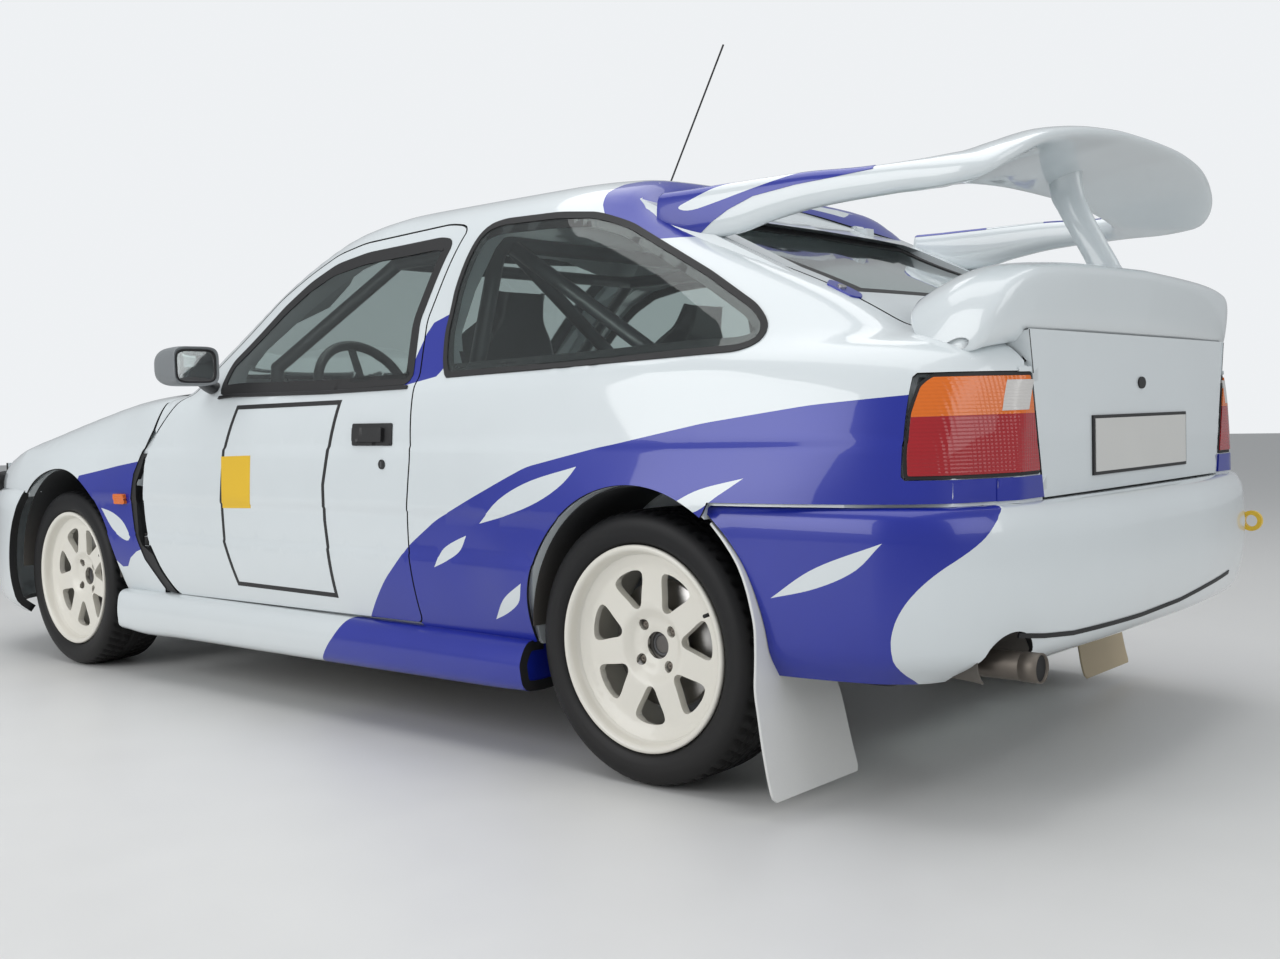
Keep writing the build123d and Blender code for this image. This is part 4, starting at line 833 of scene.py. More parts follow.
slot_lip_outline = side_points(stretch([*SLOT_LIP]))
door_outline = side_points(door_edge)
wing_marks = [on_flank(WING_BLUE, 1), side_points(leaf_outline(WING_SLASH, 3))]
for side, mirror in SIDES:
    skin(f"door_skin_{side}", door_outline, f"door_{side}", PAINT_AND_RIM_SHADE,
         holes=[side_points(door_hole)], marks=flank_marks, mirror=mirror, creases=press_lines)
    skin(f"wing_skin_{side}", wing_outline, "chassis", PAINT_AND_RIM_SHADE,
         marks=wing_marks, mirror=mirror, creases=press_lines)
    # Flush black strip, lip and back wall: painted shade for the slot's dark inside.
    skin(f"vent_slot_{side}", slot_outline, "chassis", [BLACK], lift=1.5, thickness=14.0,
         mirror=mirror)
    skin(f"vent_lip_{side}", slot_lip_outline, "chassis", [RECESS_SHADE], lift=-11.0,
         thickness=32.0, mirror=mirror)
    skin(f"vent_back_{side}", slot_back_outline, "chassis", [RECESS_SHADE], lift=-42.0,
         thickness=2.0, mirror=mirror)
half_bonnet = top_points(stretch([(2136, 1), (2136, 640), (3256, 560), (3256, 1)]))
skin("bonnet_skin", np.concatenate([half_bonnet, flipped(half_bonnet)]), "bonnet", PAINT_AND_RIM_SHADE)
half_gate = top_points(stretch([(150, 1), (150, 565), (-400, 565), (-560, 553), (-738, 540), (-738, 1)]))
gate_blue = top_points(filled_in([(170, 455), (170, 590), (-100, 590), (-92, 545), (-30, 512), (50, 470)],
                                 12.0))
skin("tailgate_skin", np.concatenate([half_gate, flipped(half_gate)]), "tailgate", PAINT_AND_RIM_SHADE,
     holes=[back_hole], marks=[gate_blue, flipped(gate_blue)])


def tail_chart(points, lift):
    """(minus y, height) on the tail's nearly flat panel, crowned by 4 mm at the middle."""
    y, z = -points[:, 0], points[:, 1]
    place = -745.0 - lift - 4.0 * (1 - (y / 560.0) ** 2)
    return np.stack([place, y, z], 1)


tail_panel = filled_in([(-491, 610), (491, 610), (551, 934), (-551, 934)], 12.0)
skin("tail_panel", tail_panel, "tailgate", PAINT_AND_RIM_SHADE, lift=0.5, chart=tail_chart, step=30)


def cheek_chart(points, lift):
    """(place, height) on the upright side of the tailgate's lower panel."""
    return np.stack([points[:, 0], 549.5 + lift + (points[:, 1] - 934.0) * 0.19, points[:, 1]], 1)


cheek = filled_in([(-748, 850), (-748, 933), (-700, 926), (-610, 915), (-600, 850)], 12.0)
for side, mirror in SIDES:
    skin(f"tail_cheek_{side}", cheek[::-1], "tailgate", PAINT_AND_RIM_SHADE, lift=0.0, thickness=4.0,
         chart=cheek_chart, mirror=mirror)

# %% [markdown]
# ## Glass and its black frames
# The windows are sheets of the same surface. The screens lie a little deeper than the paint, the
# side panes flush with it. A Principled
# shader with full transmission bends light at both faces of each sheet, as real glass does.
# Round each window runs a black band: rubber at the doors, printed enamel on fixed glass.
# %% Glass
panes = (
    ("windscreen_pane", screen_hole, "windscreen", "chassis"),
    ("back_pane", back_hole, "back_glass", "tailgate"),
)
for name, outline, node, body in panes:
    pane = skin(name, outline, body, [GLASS], lift=-2.0, thickness=4.0, step=30)
    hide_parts(node)
for side, mirror in SIDES:
    pane = skin(f"door_pane_{side}", side_points(door_hole), f"door_{side}", [GLASS],
                lift=4.0, thickness=3.0, step=30, mirror=mirror)
    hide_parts(f"door_glass_{side}")
    pane = skin(f"quarter_pane_{side}", left_quarter, "chassis", [GLASS],
                lift=6.0, thickness=3.0, step=30, mirror=mirror)
    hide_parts("quarter_glass")

# %% Black window frames


def band(name, outline, width, body, lift=1.0, mirror=False, material=None, thickness=4.0, outside=2.0):
    """A flat frame that follows a closed edge on the body, from a little outside it inwards."""
    outer = grown(outline, outside)
    inner = grown(outline, -width)
    return skin(name, outer, body, [material or RUBBER], holes=[inner], lift=lift,
                thickness=thickness, step=60, mirror=mirror)


band("screen_band", screen_hole, 32, "chassis", lift=1.5)
band("back_band", back_hole, 30, "tailgate", lift=1.5)
for side, mirror in SIDES:
    band(f"door_band_{side}", side_points(door_hole), 22, f"door_{side}", lift=5.5, mirror=mirror, outside=5)
    band(f"quarter_seal_{side}", left_quarter, 7, "chassis", lift=7.0, mirror=mirror, outside=7)
    band(f"quarter_print_{side}", left_quarter, 24, "chassis", lift=2.4, mirror=mirror, outside=-4,
         thickness=2.0, material=PRINT)

# %% [markdown]
# ## Bumpers
# A bumper is drawn from plan outlines at a few heights. The chart's two numbers are the
# distance round the car and the height, and past the top edge the surface rolls over a quarter
# circle, as moulded plastic does, instead of ending in a sharp corner.
# %% Bumper charts
REAR_BUMPER_PLANS = np.array([
    (262, -300, 800, -520, 770, -610, 700, -650, 500, -665),
    (330, -300, 838, -560, 812, -690, 745, -770, 540, -800),
    (470, -300, 850, -570, 828, -700, 760, -790, 560, -827),
    (560, -300, 850, -570, 828, -700, 758, -786, 560, -822),
    (606, -300, 843, -565, 818, -690, 745, -768, 555, -795),
], float)
FRONT_BUMPER_PLANS = np.array([
    (165, 2850, 800, 3060, 760, 3230, 640, 3310, 420, 3330),
    (215, 2850, 850, 3060, 812, 3250, 690, 3345, 440, 3376),
    (330, 2850, 860, 3060, 822, 3255, 698, 3350, 450, 3384),
    (520, 2850, 858, 3060, 818, 3245, 690, 3338, 450, 3372),
    (575, 2850, 850, 3060, 805, 3220, 680, 3310, 440, 3342),
], float)


def bumper_table(plans, start_place):
    """Heights, distances round the car, and the plan point at each of them."""
    heights = np.linspace(plans[0, 0], plans[-1, 0], 90)
    rows = smooth(plans[:, 0], plans[:, 1:], heights)
    fine = np.linspace(0.0, 1.0, 500)
    table = []
    for start, side, bend, bend_y, corner, corner_y, face, face_y, centre in rows:
        half = np.array([(start_place, side), (start, side), (bend, bend_y), (corner, corner_y),
                         (face, face_y), (centre, 150)])
        ring = np.concatenate([half, half[::-1] * (1, -1)])
        table.append(smooth(along(ring), ring, fine))
    table = np.array(table)
    length = np.linalg.norm(np.diff(table[45], axis=0), axis=1).sum()
    return heights, fine * length, table


def bumper_chart(table, roll=12.0):
    """A chart of one bumper. Past the top it rolls over a quarter circle of the given radius."""
    heights, lengths, points_at = table
    middle = points_at.mean(1)[:, 0].mean()

    def chart(points, lift):
        """(distance, height) to millimetres on this bumper."""
        distance, height = points[:, 0], points[:, 1]
        top = heights[-1] - roll
        turn = np.clip((height - top) / roll, 0, math.pi / 2)
        real_z = np.where(height > top, top + roll * np.sin(turn), height)
        inset = np.where(height > top, roll * (1 - np.cos(turn)), 0.0)
        inset = inset + np.maximum(height - top - roll * math.pi / 2, 0)
        i = np.clip((real_z - heights[0]) / (heights[1] - heights[0]), 0, len(heights) - 1.001)
        j = np.clip(distance / lengths[1], 0, len(lengths) - 2.001)
        ii, jj = i.astype(int), j.astype(int)
        p, q = (i - ii)[:, None], (j - jj)[:, None]
        low = points_at[ii, jj] * (1 - q) + points_at[ii, jj + 1] * q
        high = points_at[ii + 1, jj] * (1 - q) + points_at[ii + 1, jj + 1] * q
        plan = low * (1 - p) + high * p
        run = points_at[ii, jj + 1] - points_at[ii, jj]
        normal = np.stack([run[:, 1], -run[:, 0]], 1)
        normal /= np.maximum(np.linalg.norm(normal, axis=1, keepdims=True), 1e-9)
        side = np.sign(((plan - (middle, 0.0)) * normal).sum(1))[:, None]
        plan = plan + normal * side * (lift - inset)[:, None]
        return np.stack([plan[:, 0], plan[:, 1], real_z], 1)

    return chart


def bumper_points(table, outline, from_side):
    """(place, height) from the side or (y, height) from the end, as (distance, height) on the bumper."""
    heights, lengths, points_at = table
    outline = np.asarray(outline, float)
    row = np.rint((outline[:, 1] - heights[0]) / (heights[1] - heights[0])).astype(int)
    row = np.clip(row, 0, len(heights) - 1)
    values = points_at[row][:, :, 0 if from_side else 1]
    half = len(lengths) // 2
    if from_side:
        values = values[:, :half]
        target = outline[:, :1]
        past = (values <= target) if values[0, 0] > values[0, -1] else (values >= target)
    else:
        past = values <= outline[:, :1]
    cell = np.clip(past.argmax(1), 1, values.shape[1] - 1)
    index = np.arange(len(outline))
    a, b = values[index, cell - 1], values[index, cell]
    share = np.clip((outline[:, 0] - a) / np.where(a == b, 1.0, b - a), 0, 1)
    return np.stack([lengths[cell - 1] + share * (lengths[cell] - lengths[cell - 1]), outline[:, 1]], 1)


rear_table = bumper_table(REAR_BUMPER_PLANS, -190)
front_table = bumper_table(FRONT_BUMPER_PLANS, 2760)
rear_chart, front_chart = bumper_chart(rear_table), bumper_chart(front_table)
print("bumper lengths", round(rear_table[1][-1]), round(front_table[1][-1]))

# %% Rear bumper
bumper_roll = 12.0 * (math.pi / 2 - 1)
LEDGE = 44.0
REAR_END, FRONT_END = rear_table[1][-1], front_table[1][-1]
arch_side = np.array([p for p in arc((0, ARCH_Z), 334, 122, 190, 40) if p[1] > 263])
left_run = bumper_points(rear_table, arch_side, True)
left_run[0, 1] = 606 + bumper_roll + LEDGE
right_run = left_run[::-1] * (-1, 1) + (REAR_END, 0)
rear_outline = filled_in(np.concatenate([left_run[:1], left_run, right_run]), 14.0)
blue_sweep = np.array([(-150, 700), (-680, 700), (-745, 600), (-735, 540), (-650, 470), (-600, 400),
                       (-585, 330), (-610, 240), (-150, 240)])
blue_bumper = bumper_points(rear_table, filled_in(rounded(blue_sweep, 3), 14.0), True)
leaf = bumper_points(rear_table, leaf_outline(BUMPER_LEAF, 2), True)
pipe_notch = bumper_points(rear_table, [(640 + 58 * math.cos(t), max(264.0, 312 + 58 * math.sin(t)))
                                        for t in round_turns(48)], False)
mirrored_marks = [mark[::-1] * (-1, 1) + (REAR_END, 0) for mark in (blue_bumper, leaf)]
bumper_skin = skin("rear_bumper_skin", rear_outline[::-1], "chassis", PAINT_AND_RIM_SHADE,
                   holes=[pipe_notch], marks=[blue_bumper, leaf, *mirrored_marks], chart=rear_chart, lift=1.0,
                   thickness=30.0)
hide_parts("rear_bumper")
strip_top = np.array([(634, 366), (560, 357), (457, 349), (151, 348), (-60, 353), (-215, 366), (-411, 378)],
                     float)
strip = filled_in(np.concatenate([strip_top, strip_top[::-1] - (0, 9)]), 14.0)
skin("bumper_strip", bumper_points(rear_table, strip, False)[::-1], "chassis", [RUBBER],
     chart=rear_chart, lift=3.0, thickness=4.0)
turns = np.radians(np.linspace(-38, 218, 60))
depths = np.array([(-1, 60), (10, 57), (60, 52), (140, 48)], float)
ring_y = 640 + depths[:, 1:] * np.cos(turns)
surface = -770.0 + (ring_y[:1] - 540.0) * 80.0 / 205.0
liner = np.stack([surface + depths[:, :1], ring_y, 312 + depths[:, 1:] * np.sin(turns)], -1)
piece = make_piece("pipe_recess", liner.reshape(-1, 3), grid_faces(4, 60), [UNDER], "chassis")
wall(piece, 3.0)

# %% [markdown]
# ## High rear wing
# The wing is one hoop of glass fibre: two arms stand on the tailgate, run back and turn into
# the blade. It is swept along that hoop. At each station the outer and the inner edge are
# given, and the section between them is a fat ellipse that is tall and thin in the arms and
# wide and flat in the blade, so both melt into each other without a seam.
# %% Wing hoop
HOOP = np.array([
    (124, 600, 1236, 124, 553, 1236, 58, 0), (20, 601, 1234, 20, 553, 1234, 58, 0),
    (-90, 602, 1236, -90, 553, 1236, 55, 0), (-180, 602, 1244, -180, 553, 1244, 46, 0),
    (-300, 602, 1250, -300, 552, 1250, 37, 0), (-420, 603, 1248, -412, 550, 1249, 31, 0),
    (-520, 605, 1245, -462, 536, 1250, 30, 2), (-610, 606, 1240, -484, 505, 1252, 31, 6),
    (-676, 594, 1242, -496, 458, 1256, 31, 10), (-722, 548, 1270, -501, 392, 1262, 27, 14),
    (-752, 440, 1312, -502, 300, 1270, 22, 18), (-775, 280, 1336, -501, 190, 1276, 19, 20),
    (-784, 130, 1345, -500, 90, 1279, 17, 21), (-786, 0, 1346, -499, 0, 1280, 17, 21),
], float)


def ellipse_power(values, power):
    """Sign times size to a power, which makes an ellipse's sections fatter below 1."""
    return np.sign(values) * np.abs(values) ** power


def hoop_points(station, turn, lift=0.0):
    """Point at a share and an angle: middle + cos(turn) * half width + sin(turn) * half height."""
    whole = np.concatenate([HOOP, HOOP[-2::-1] * (1, -1, 1, 1, -1, 1, 1, 1)])
    knots = along(whole[:, :3] + whole[:, 3:6])
    rows = smooth(knots, whole, station)
    outer, inner, half, arch = rows[..., :3], rows[..., 3:6], rows[..., 6], rows[..., 7]
    reach = np.linalg.norm(outer - inner, axis=-1)[..., None] * 0.5
    way = (outer - inner) * 0.5 / reach
    across, upward = ellipse_power(np.cos(turn), 0.8), ellipse_power(np.sin(turn), 0.8)
    point = (outer + inner) * 0.5 + way * (reach + lift) * across[..., None]
    point[..., 2] += (half + lift) * upward + arch * (1 - across ** 2)
    return point


def closed_tube(grid):
    """Points and faces of a grid that is closed round and capped at both ends by a middle point."""
    rows, columns = grid.shape[:2]
    faces = grid_faces(rows, columns, closed_columns=True)
    points = np.concatenate([grid.reshape(-1, 3), grid[0].mean(0)[None], grid[-1].mean(0)[None]])
    ring = np.arange(columns)
    nxt = (ring + 1) % columns
    first, last = rows * columns, rows * columns + 1
    start = np.stack([np.full(columns, first), nxt, ring], 1)
    end = np.stack([np.full(columns, last), (rows - 1) * columns + ring, (rows - 1) * columns + nxt], 1)
    return points, [*faces.tolist(), *start.tolist(), *end.tolist()]


def outward(piece):
    """Turns a closed piece's faces outwards if its volume comes out negative."""
    mesh = piece.data
    corners = np.empty(len(mesh.vertices) * 3)
    mesh.vertices.foreach_get("co", corners)
    corners = corners.reshape(-1, 3)
    mesh.calc_loop_triangles()
    triangles = np.empty(len(mesh.loop_triangles) * 3, np.int32)
    mesh.loop_triangles.foreach_get("vertices", triangles)
    a, b, c = corners[triangles.reshape(-1, 3)].transpose(1, 0, 2)
    if np.sum(np.cross(a, b) * c) < 0:
        mesh.flip_normals()
    return piece


def facing(piece, direction):
    """Flips an open sheet whose faces look away from a direction on the whole."""
    if sum(face.area * face.normal.dot(Vector(direction)) for face in piece.data.polygons) < 0:
        piece.data.flip_normals()
    return piece


def make_grid(name, grid, finishes, body):
    """A closed tube piece from a grid of points."""
    points, faces = closed_tube(grid)
    return outward(make_piece(name, points, faces, finishes, body))


stations, turns = np.meshgrid(np.linspace(0, 1, 221), round_turns(44), indexing="ij")
hoop = make_grid("wing_hoop", hoop_points(stations, turns), [WHITE], "tailgate")
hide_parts("tail_wing")
print("wing hoop faces", len(hoop.data.polygons))

# %% [markdown]
# ## Paint on the wing's arms
# Blue runs up each arm with a white flame in it. A mask in the shader would blur at its edge, so
# the paint is a thin sheet on the arm's own surface, cut along the flame's outline.
# %% Colours on the wing arms
ARM_BLUE = ((60, 1300), (-40, 1330), (-470, 1330), (-444, 1270), (-354, 1265), (-258, 1262), (-147, 1252),
            (-81, 1232), (-34, 1211), (20, 1180), (130, 1180), (130, 1310))
ARM_FLAME = ((70, 1252), (-41, 1286), (-158, 1296), (-290, 1292), (-208, 1279), (-136, 1267), (-40, 1250),
             (30, 1240))
ARM_LENGTH, ARM_GIRTH = 3400.0, 60.0


def arm_points(outline):
    """(place, height) on the left arm's outer face to (station share, angle), stretched to millimetres."""
    outline = np.asarray(outline, float)
    shares = np.linspace(0.0, 0.3, 400)
    middle = hoop_points(shares, np.zeros(400))
    share = np.interp(-outline[:, 0], -middle[:, 0], shares)
    base = hoop_points(share, np.zeros(len(share)))
    top = hoop_points(share, np.full(len(share), math.pi / 2))
    upward = np.clip((outline[:, 1] - base[:, 2]) / (top[:, 2] - base[:, 2]), -1, 1.0)
    turn = np.arcsin(ellipse_power(upward, 1.25)) + np.where(outline[:, 1] > top[:, 2], 0.5, 0.0)
    return np.stack([share * ARM_LENGTH, turn * ARM_GIRTH], 1)


def arm_chart(points, lift):
    """(stretched share, stretched angle) to millimetres on the left arm."""
    return hoop_points(points[:, 0] / ARM_LENGTH, points[:, 1] / ARM_GIRTH, lift)


arm_blue = arm_points(filled_in(ARM_BLUE, 14.0))
arm_flame = arm_points(filled_in(rounded(ARM_FLAME, 2), 10.0))
for side, mirror in SIDES:
    skin(f"arm_paint_{side}", arm_blue[::-1], "tailgate", [BLUE, WHITE], marks=[arm_flame],
         lift=1.2, thickness=2.0, chart=arm_chart, mirror=mirror, step=8)

# %% [markdown]
# ## Strut and lower spoiler
# The strut is a post with flared ends, the spoiler a moulding whose section changes across the
# car. Both are sections carried along a line, smoothed between a few that were measured.
# %% Strut and lower spoiler
STRUT = np.array([
    (-581, 1326, 40, 30), (-582, 1300, 38, 24), (-586, 1262, 38, 17), (-604, 1220, 36, 15),
    (-640, 1150, 35, 15), (-670, 1092, 36, 16), (-676, 1076, 42, 22), (-680, 1060, 46, 26),
], float)
levels, turns = np.meshgrid(np.linspace(0, 1, 60), round_turns(36), indexing="ij")
rows = smooth(along(STRUT[:, :2]), STRUT, levels)
strut_grid = np.stack([rows[..., 0] + rows[..., 2] * ellipse_power(np.cos(turns), 0.9),
                       rows[..., 3] * ellipse_power(np.sin(turns), 0.9), rows[..., 1]], -1)
strut = make_grid("wing_strut", strut_grid, [WHITE], "tailgate")
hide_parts("tail_wing")
SPOILER = np.array([
    (0, -458, 1004, -560, 1066, -645, 1088, -752, 1080, -784, 1066, -780, 1040, -757, 938, -700, 905),
    (300, -462, 1000, -560, 1060, -648, 1082, -748, 1074, -777, 1060, -774, 1036, -753, 936, -700, 905),
    (520, -468, 988, -565, 1042, -650, 1066, -738, 1058, -762, 1046, -762, 1022, -745, 928, -700, 900),
    (590, -490, 965, -572, 1010, -652, 1042, -722, 1034, -744, 1020, -746, 1000, -734, 922, -690, 895),
    (632, -530, 925, -590, 965, -652, 994, -700, 988, -716, 976, -722, 962, -716, 915, -680, 890),
    (646, -570, 900, -610, 930, -652, 950, -682, 946, -694, 938, -698, 930, -696, 905, -670, 888),
    (650, -610, 900, -630, 912, -652, 920, -668, 918, -672, 914, -674, 912, -672, 904, -660, 896),
], float)
across = np.sin(np.linspace(-math.pi / 2, math.pi / 2, 121)) * 650
rows = smooth(SPOILER[:, 0], SPOILER[:, 1:], np.abs(across)).reshape(121, 8, 2)
for _ in range(3):
    after = np.roll(rows, -1, axis=1)
    rows = np.stack([rows * 0.75 + after * 0.25, rows * 0.25 + after * 0.75], 2).reshape(121, -1, 2)
spoiler_grid = np.stack([rows[..., 0], np.broadcast_to(across[:, None], rows.shape[:2]), rows[..., 1]], -1)
spoiler = make_grid("lower_spoiler", spoiler_grid, [WHITE], "tailgate")
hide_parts("deck_spoiler")
print("spoiler faces", len(spoiler.data.polygons))

# %% [markdown]
# ## Tail lamps and the corners round them
# The lamp bends round the corner of the car, so it needs a chart of its own: the distance along
# the plan line, past the flank and on over the flat tail, and the height. One outline is cut
# into the amber, clear and red parts, and the parts share their edges like the fields of a
# moulded lens.
# %% Tail corner chart
CHART_RISE, CHART_RUN = 6.0, 4.0


def bent_table(heights, places, highest, flat_end, flat_count, flat_x, crown, wide, length, times):
    """Plan lines at some heights: along the flank, round the corner and over the crowned flat end."""
    rows = []
    for height in heights:
        found = side_points(np.stack([places, np.full(len(places), min(height, highest))], 1))
        solid = body_chart(found, 0.0)[:, :2]
        flat_y = np.linspace(solid[-1, 1] - 14, flat_end, flat_count)
        flat = np.stack([flat_x + crown * (1 - (flat_y / wide) ** 2), flat_y], 1)
        line = np.concatenate([solid[:-2], flat])
        run = np.concatenate([[0], np.cumsum(np.linalg.norm(np.diff(line, axis=0), axis=1))])
        rows.append(smooth(run, line, np.arange(0.0, length, CHART_RUN)))
    table = np.array(rows)
    for _ in range(times):
        table[:, 1:-1] = table[:, 1:-1] * 0.5 + (table[:, 2:] + table[:, :-2]) * 0.25
    return table


def bent_chart(table, heights, points, lift, turn, spare):
    """(distance, height) to millimetres: the table's plan point, moved along its normal by the lift."""
    row = np.clip((points[:, 1] - heights[0]) / CHART_RISE, 0, len(heights) - 1.001)
    column = np.clip(points[:, 0] / CHART_RUN, 0, table.shape[1] - spare)
    i, j = row.astype(int), column.astype(int)
    run = table[i, j + 1] - table[i, j]
    normal = turn * np.stack([run[:, 1], -run[:, 0]], 1)
    normal /= np.maximum(np.linalg.norm(normal, axis=1, keepdims=True), 1e-9)
    plan = between(table, row, column) + normal * lift
    return np.stack([plan[:, 0], np.maximum(plan[:, 1], 0.0), points[:, 1]], 1)


def bent_from(table, heights, top, height, place=None, y=None):
    """Distance on a bent chart for a place on the flank or a half-width on the flat end."""
    row = table[int(round((min(max(height, heights[0]), top) - heights[0]) / CHART_RISE))]
    line, target = (-row[:, 1], -y) if place is None else (row[:, 0], place)
    way = 1.0 if line[-1] > line[0] else -1.0
    return float(np.interp(way * target, way * line, np.arange(len(row)) * CHART_RUN))


TAIL_HEIGHTS = np.arange(606.0, 900.0, CHART_RISE)
CORNER = bent_table(TAIL_HEIGHTS, np.linspace(-560.0, -741.0, 80), 852.0, 300.0, 40, -746.0, -3.0, 600.0,
                    520.0, 4)


def corner_chart(points, lift):
    """The bent chart of the left rear corner, whose distances start at place -560."""
    return bent_chart(CORNER, TAIL_HEIGHTS, points, lift, 1, 1.001)


def corner_from(height, **where):
    """Distance on the rear corner's chart for a place, or for a half-width y."""
    return bent_from(CORNER, TAIL_HEIGHTS, 864, height, **where)


def panel_edge(height):
    """Half-width of the tailgate's lower panel at a height."""
    return 490.0 + 58.0 * (height - 606.0) / 306.0


print("corner lengths", [round(corner_from(h, y=panel_edge(h) + 8)) for h in (612, 700, 850)])

# %% Tail lamps
lamp_inner = [(corner_from(h, y=panel_edge(h) + 13), h) for h in (664, 700, 760, 800, 846)]
lamp_outer = [(corner_from(h, place=-611 - shift), h)
              for h, shift in ((846, 22), (830, 8), (780, 0), (700, 0), (664, 2))]
lamp_outline = filled_in(rounded([*lamp_inner, *lamp_outer], 2, reach=10), 8.0)
amber = filled_in([(-50, 772), (600, 776), (600, 900), (-50, 900)], 12.0)
clear_in, clear_out = corner_from(800, y=panel_edge(800) + 26), corner_from(800, y=panel_edge(800) + 92)
clear = filled_in([(clear_out, 780), (clear_in, 781), (clear_in + 1, 838), (clear_out, 838)], 8.0)
ledge_inner = [(corner_from(h, y=panel_edge(h) + 8), h) for h in (612, 655)]
ledge = filled_in([*ledge_inner, (corner_from(655, place=-724), 655), (corner_from(612, place=-724), 612)],
                  10.0)
shelf_inner = [(corner_from(h, y=panel_edge(h) + 8), h) for h in (853, 862)]
shelf = filled_in([*shelf_inner, (corner_from(862, place=-734), 862), (corner_from(853, place=-734), 853)],
                  10.0)
gasket = grown(lamp_outline, 7)
for side, mirror in SIDES:
    for name, field, lens in (
        ("red", lamp_outline, RED_LENS), ("amber", lamp_outline, AMBER_LENS), ("clear", clear, CLEAR_LENS),
    ):
        flat, faces, choice = sheet_mesh(field, [], [amber, clear] if name != "clear" else [], 12.0)
        centre = flat[faces].mean(1)
        in_clear, in_amber = inside(centre, clear), inside(centre, amber)
        keep = {"red": ~in_amber & ~in_clear, "amber": in_amber & ~in_clear, "clear": in_clear}[name]
        faces = faces[keep]
        used, renumbered = np.unique(faces, return_inverse=True)
        points, faces = corner_chart(flat[used], 3.0), renumbered.reshape(-1, 3)
        if mirror:
            points, faces = points * (1, -1, 1), faces[:, ::-1]
        lens_piece = wall(make_piece(f"{name}_lens_{side}", points, faces, [lens], "chassis"),
                          8.0)
        rounded_edges(lens_piece, 1.2, 2, 50)
        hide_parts("tail_lamps")
    skin(f"lamp_gasket_{side}", gasket, "chassis", [RUBBER], lift=0.5, thickness=12.0,
         step=30, chart=corner_chart, mirror=mirror)
    skin(f"lamp_ledge_{side}", ledge, "chassis", [BLUE], lift=3.2, chart=corner_chart,
         mirror=mirror)
    skin(f"lamp_shelf_{side}", shelf, "chassis", [WHITE], lift=4.0, chart=corner_chart,
         mirror=mirror)

# %% [markdown]
# ## Wheels
# The wheel is turned from profiles, like the real one: a deep barrel with a stepped lip, and a
# dished disc with seven rounded windows between its spokes. The disc is cut out flat, then
# every point is pushed to its depth by the distance from the hub, and a bevel rounds the
# window edges as on a casting.
# %% Wheel shapes
WHEEL_FACE = np.array([
    (29, 36), (34, 40), (58, 42), (66, 46), (78, 56), (86, 59.5), (140, 59), (172, 60), (180, 62), (188, 67),
    (196, 70), (203, 71),
], float)
BARREL = np.array([
    (197, -83), (203, -96), (216, -99), (221.5, -97), (221.5, -88), (212, -78), (206, -72), (204, -40),
    (204, 60),
    (206, 72), (212, 80), (221.5, 88), (222, 96), (219.5, 99.5), (214, 99), (209, 96), (206.5, 90), (205, 80),
    (203, 72), (196, 68.5), (195, 40), (195, -70),
], float)
WINDOW = np.array([(-9, 86), (-22, 112), (-42, 146), (-40, 160), (-20, 167), (0, 168.5), (20, 167),
                   (40, 160), (42, 146), (22, 112), (9, 86)], float)


def turned(profile, count=120):
    """Points of a closed profile of (radius, y) carried round the Y axis, and their faces."""
    turn = round_turns(count)[:, None]
    points = np.stack([profile[:, 0] * np.cos(turn), np.broadcast_to(profile[:, 1], (count, len(profile))),
                       profile[:, 0] * np.sin(turn)], -1)
    return points.reshape(-1, 3), grid_faces(count, len(profile), closed_rows=True, closed_columns=True)


def spun(outline, angle):
    """A flat outline turned about the hub."""
    cos, sin = math.cos(angle), math.sin(angle)
    return np.stack([outline[:, 0] * cos - outline[:, 1] * sin, outline[:, 0] * sin + outline[:, 1] * cos], 1)


def dish_chart(points, lift):
    """(across, up) to the wheel's face: y is the face's depth at the distance from the hub."""
    radius = np.hypot(points[:, 0], points[:, 1])
    return np.stack([points[:, 0], np.interp(radius, WHEEL_FACE[:, 0], WHEEL_FACE[:, 1]) + lift,
                     points[:, 1]], 1)


def disc_outline(radius, count):
    """A circle's outline about the hub."""
    return arc((0, 0), radius, 0, 360 - 360 / count, count)


window = filled_in(rounded(WINDOW, 2, reach=30), 6.0)
BOLT_TURNS = np.radians([52, 142, 232, 322])
BOLT_RADIUS = 54
bolt_holes = [disc_outline(12.5, 24) + (BOLT_RADIUS * math.cos(turn), BOLT_RADIUS * math.sin(turn))
              for turn in BOLT_TURNS]
holes = [spun(window, 2 * math.pi * n / 7 - 0.40) for n in range(7)] + bolt_holes + [disc_outline(29.5, 40)]
rings = [np.concatenate([disc_outline(r, 96), disc_outline(r, 96)[:1]]) for r in (58, 66, 78, 86, 180, 188)]
disc_flat, disc_faces, _ = sheet_mesh(disc_outline(202.5, 120), holes, step=11.0, creases=rings)
disc_points = dish_chart(disc_flat, 0.0)
disc_faces = disc_faces[:, ::-1]
print("wheel disc faces", len(disc_faces))


def wheel_piece(name, points, faces, place, side, track, body, finishes):
    """A piece of one wheel, mirrored for the right side and moved to its axle."""
    points = np.array(points, float) * (1, side, 1) + (place, side * track / 2, TYRE_RADIUS)
    faces = np.asarray(faces)
    return make_piece(name, points, faces[:, ::-1] if side < 0 else faces, finishes, body)


def ring_profile(inner, outer, low, high, edge=1.5):
    """A rectangular section with cut corners, for hubs, discs and nuts."""
    return np.array([(inner, low + edge), (inner + edge, low), (outer - edge, low), (outer, low + edge),
                     (outer, high - edge), (outer - edge, high), (inner + edge, high), (inner, high - edge)])


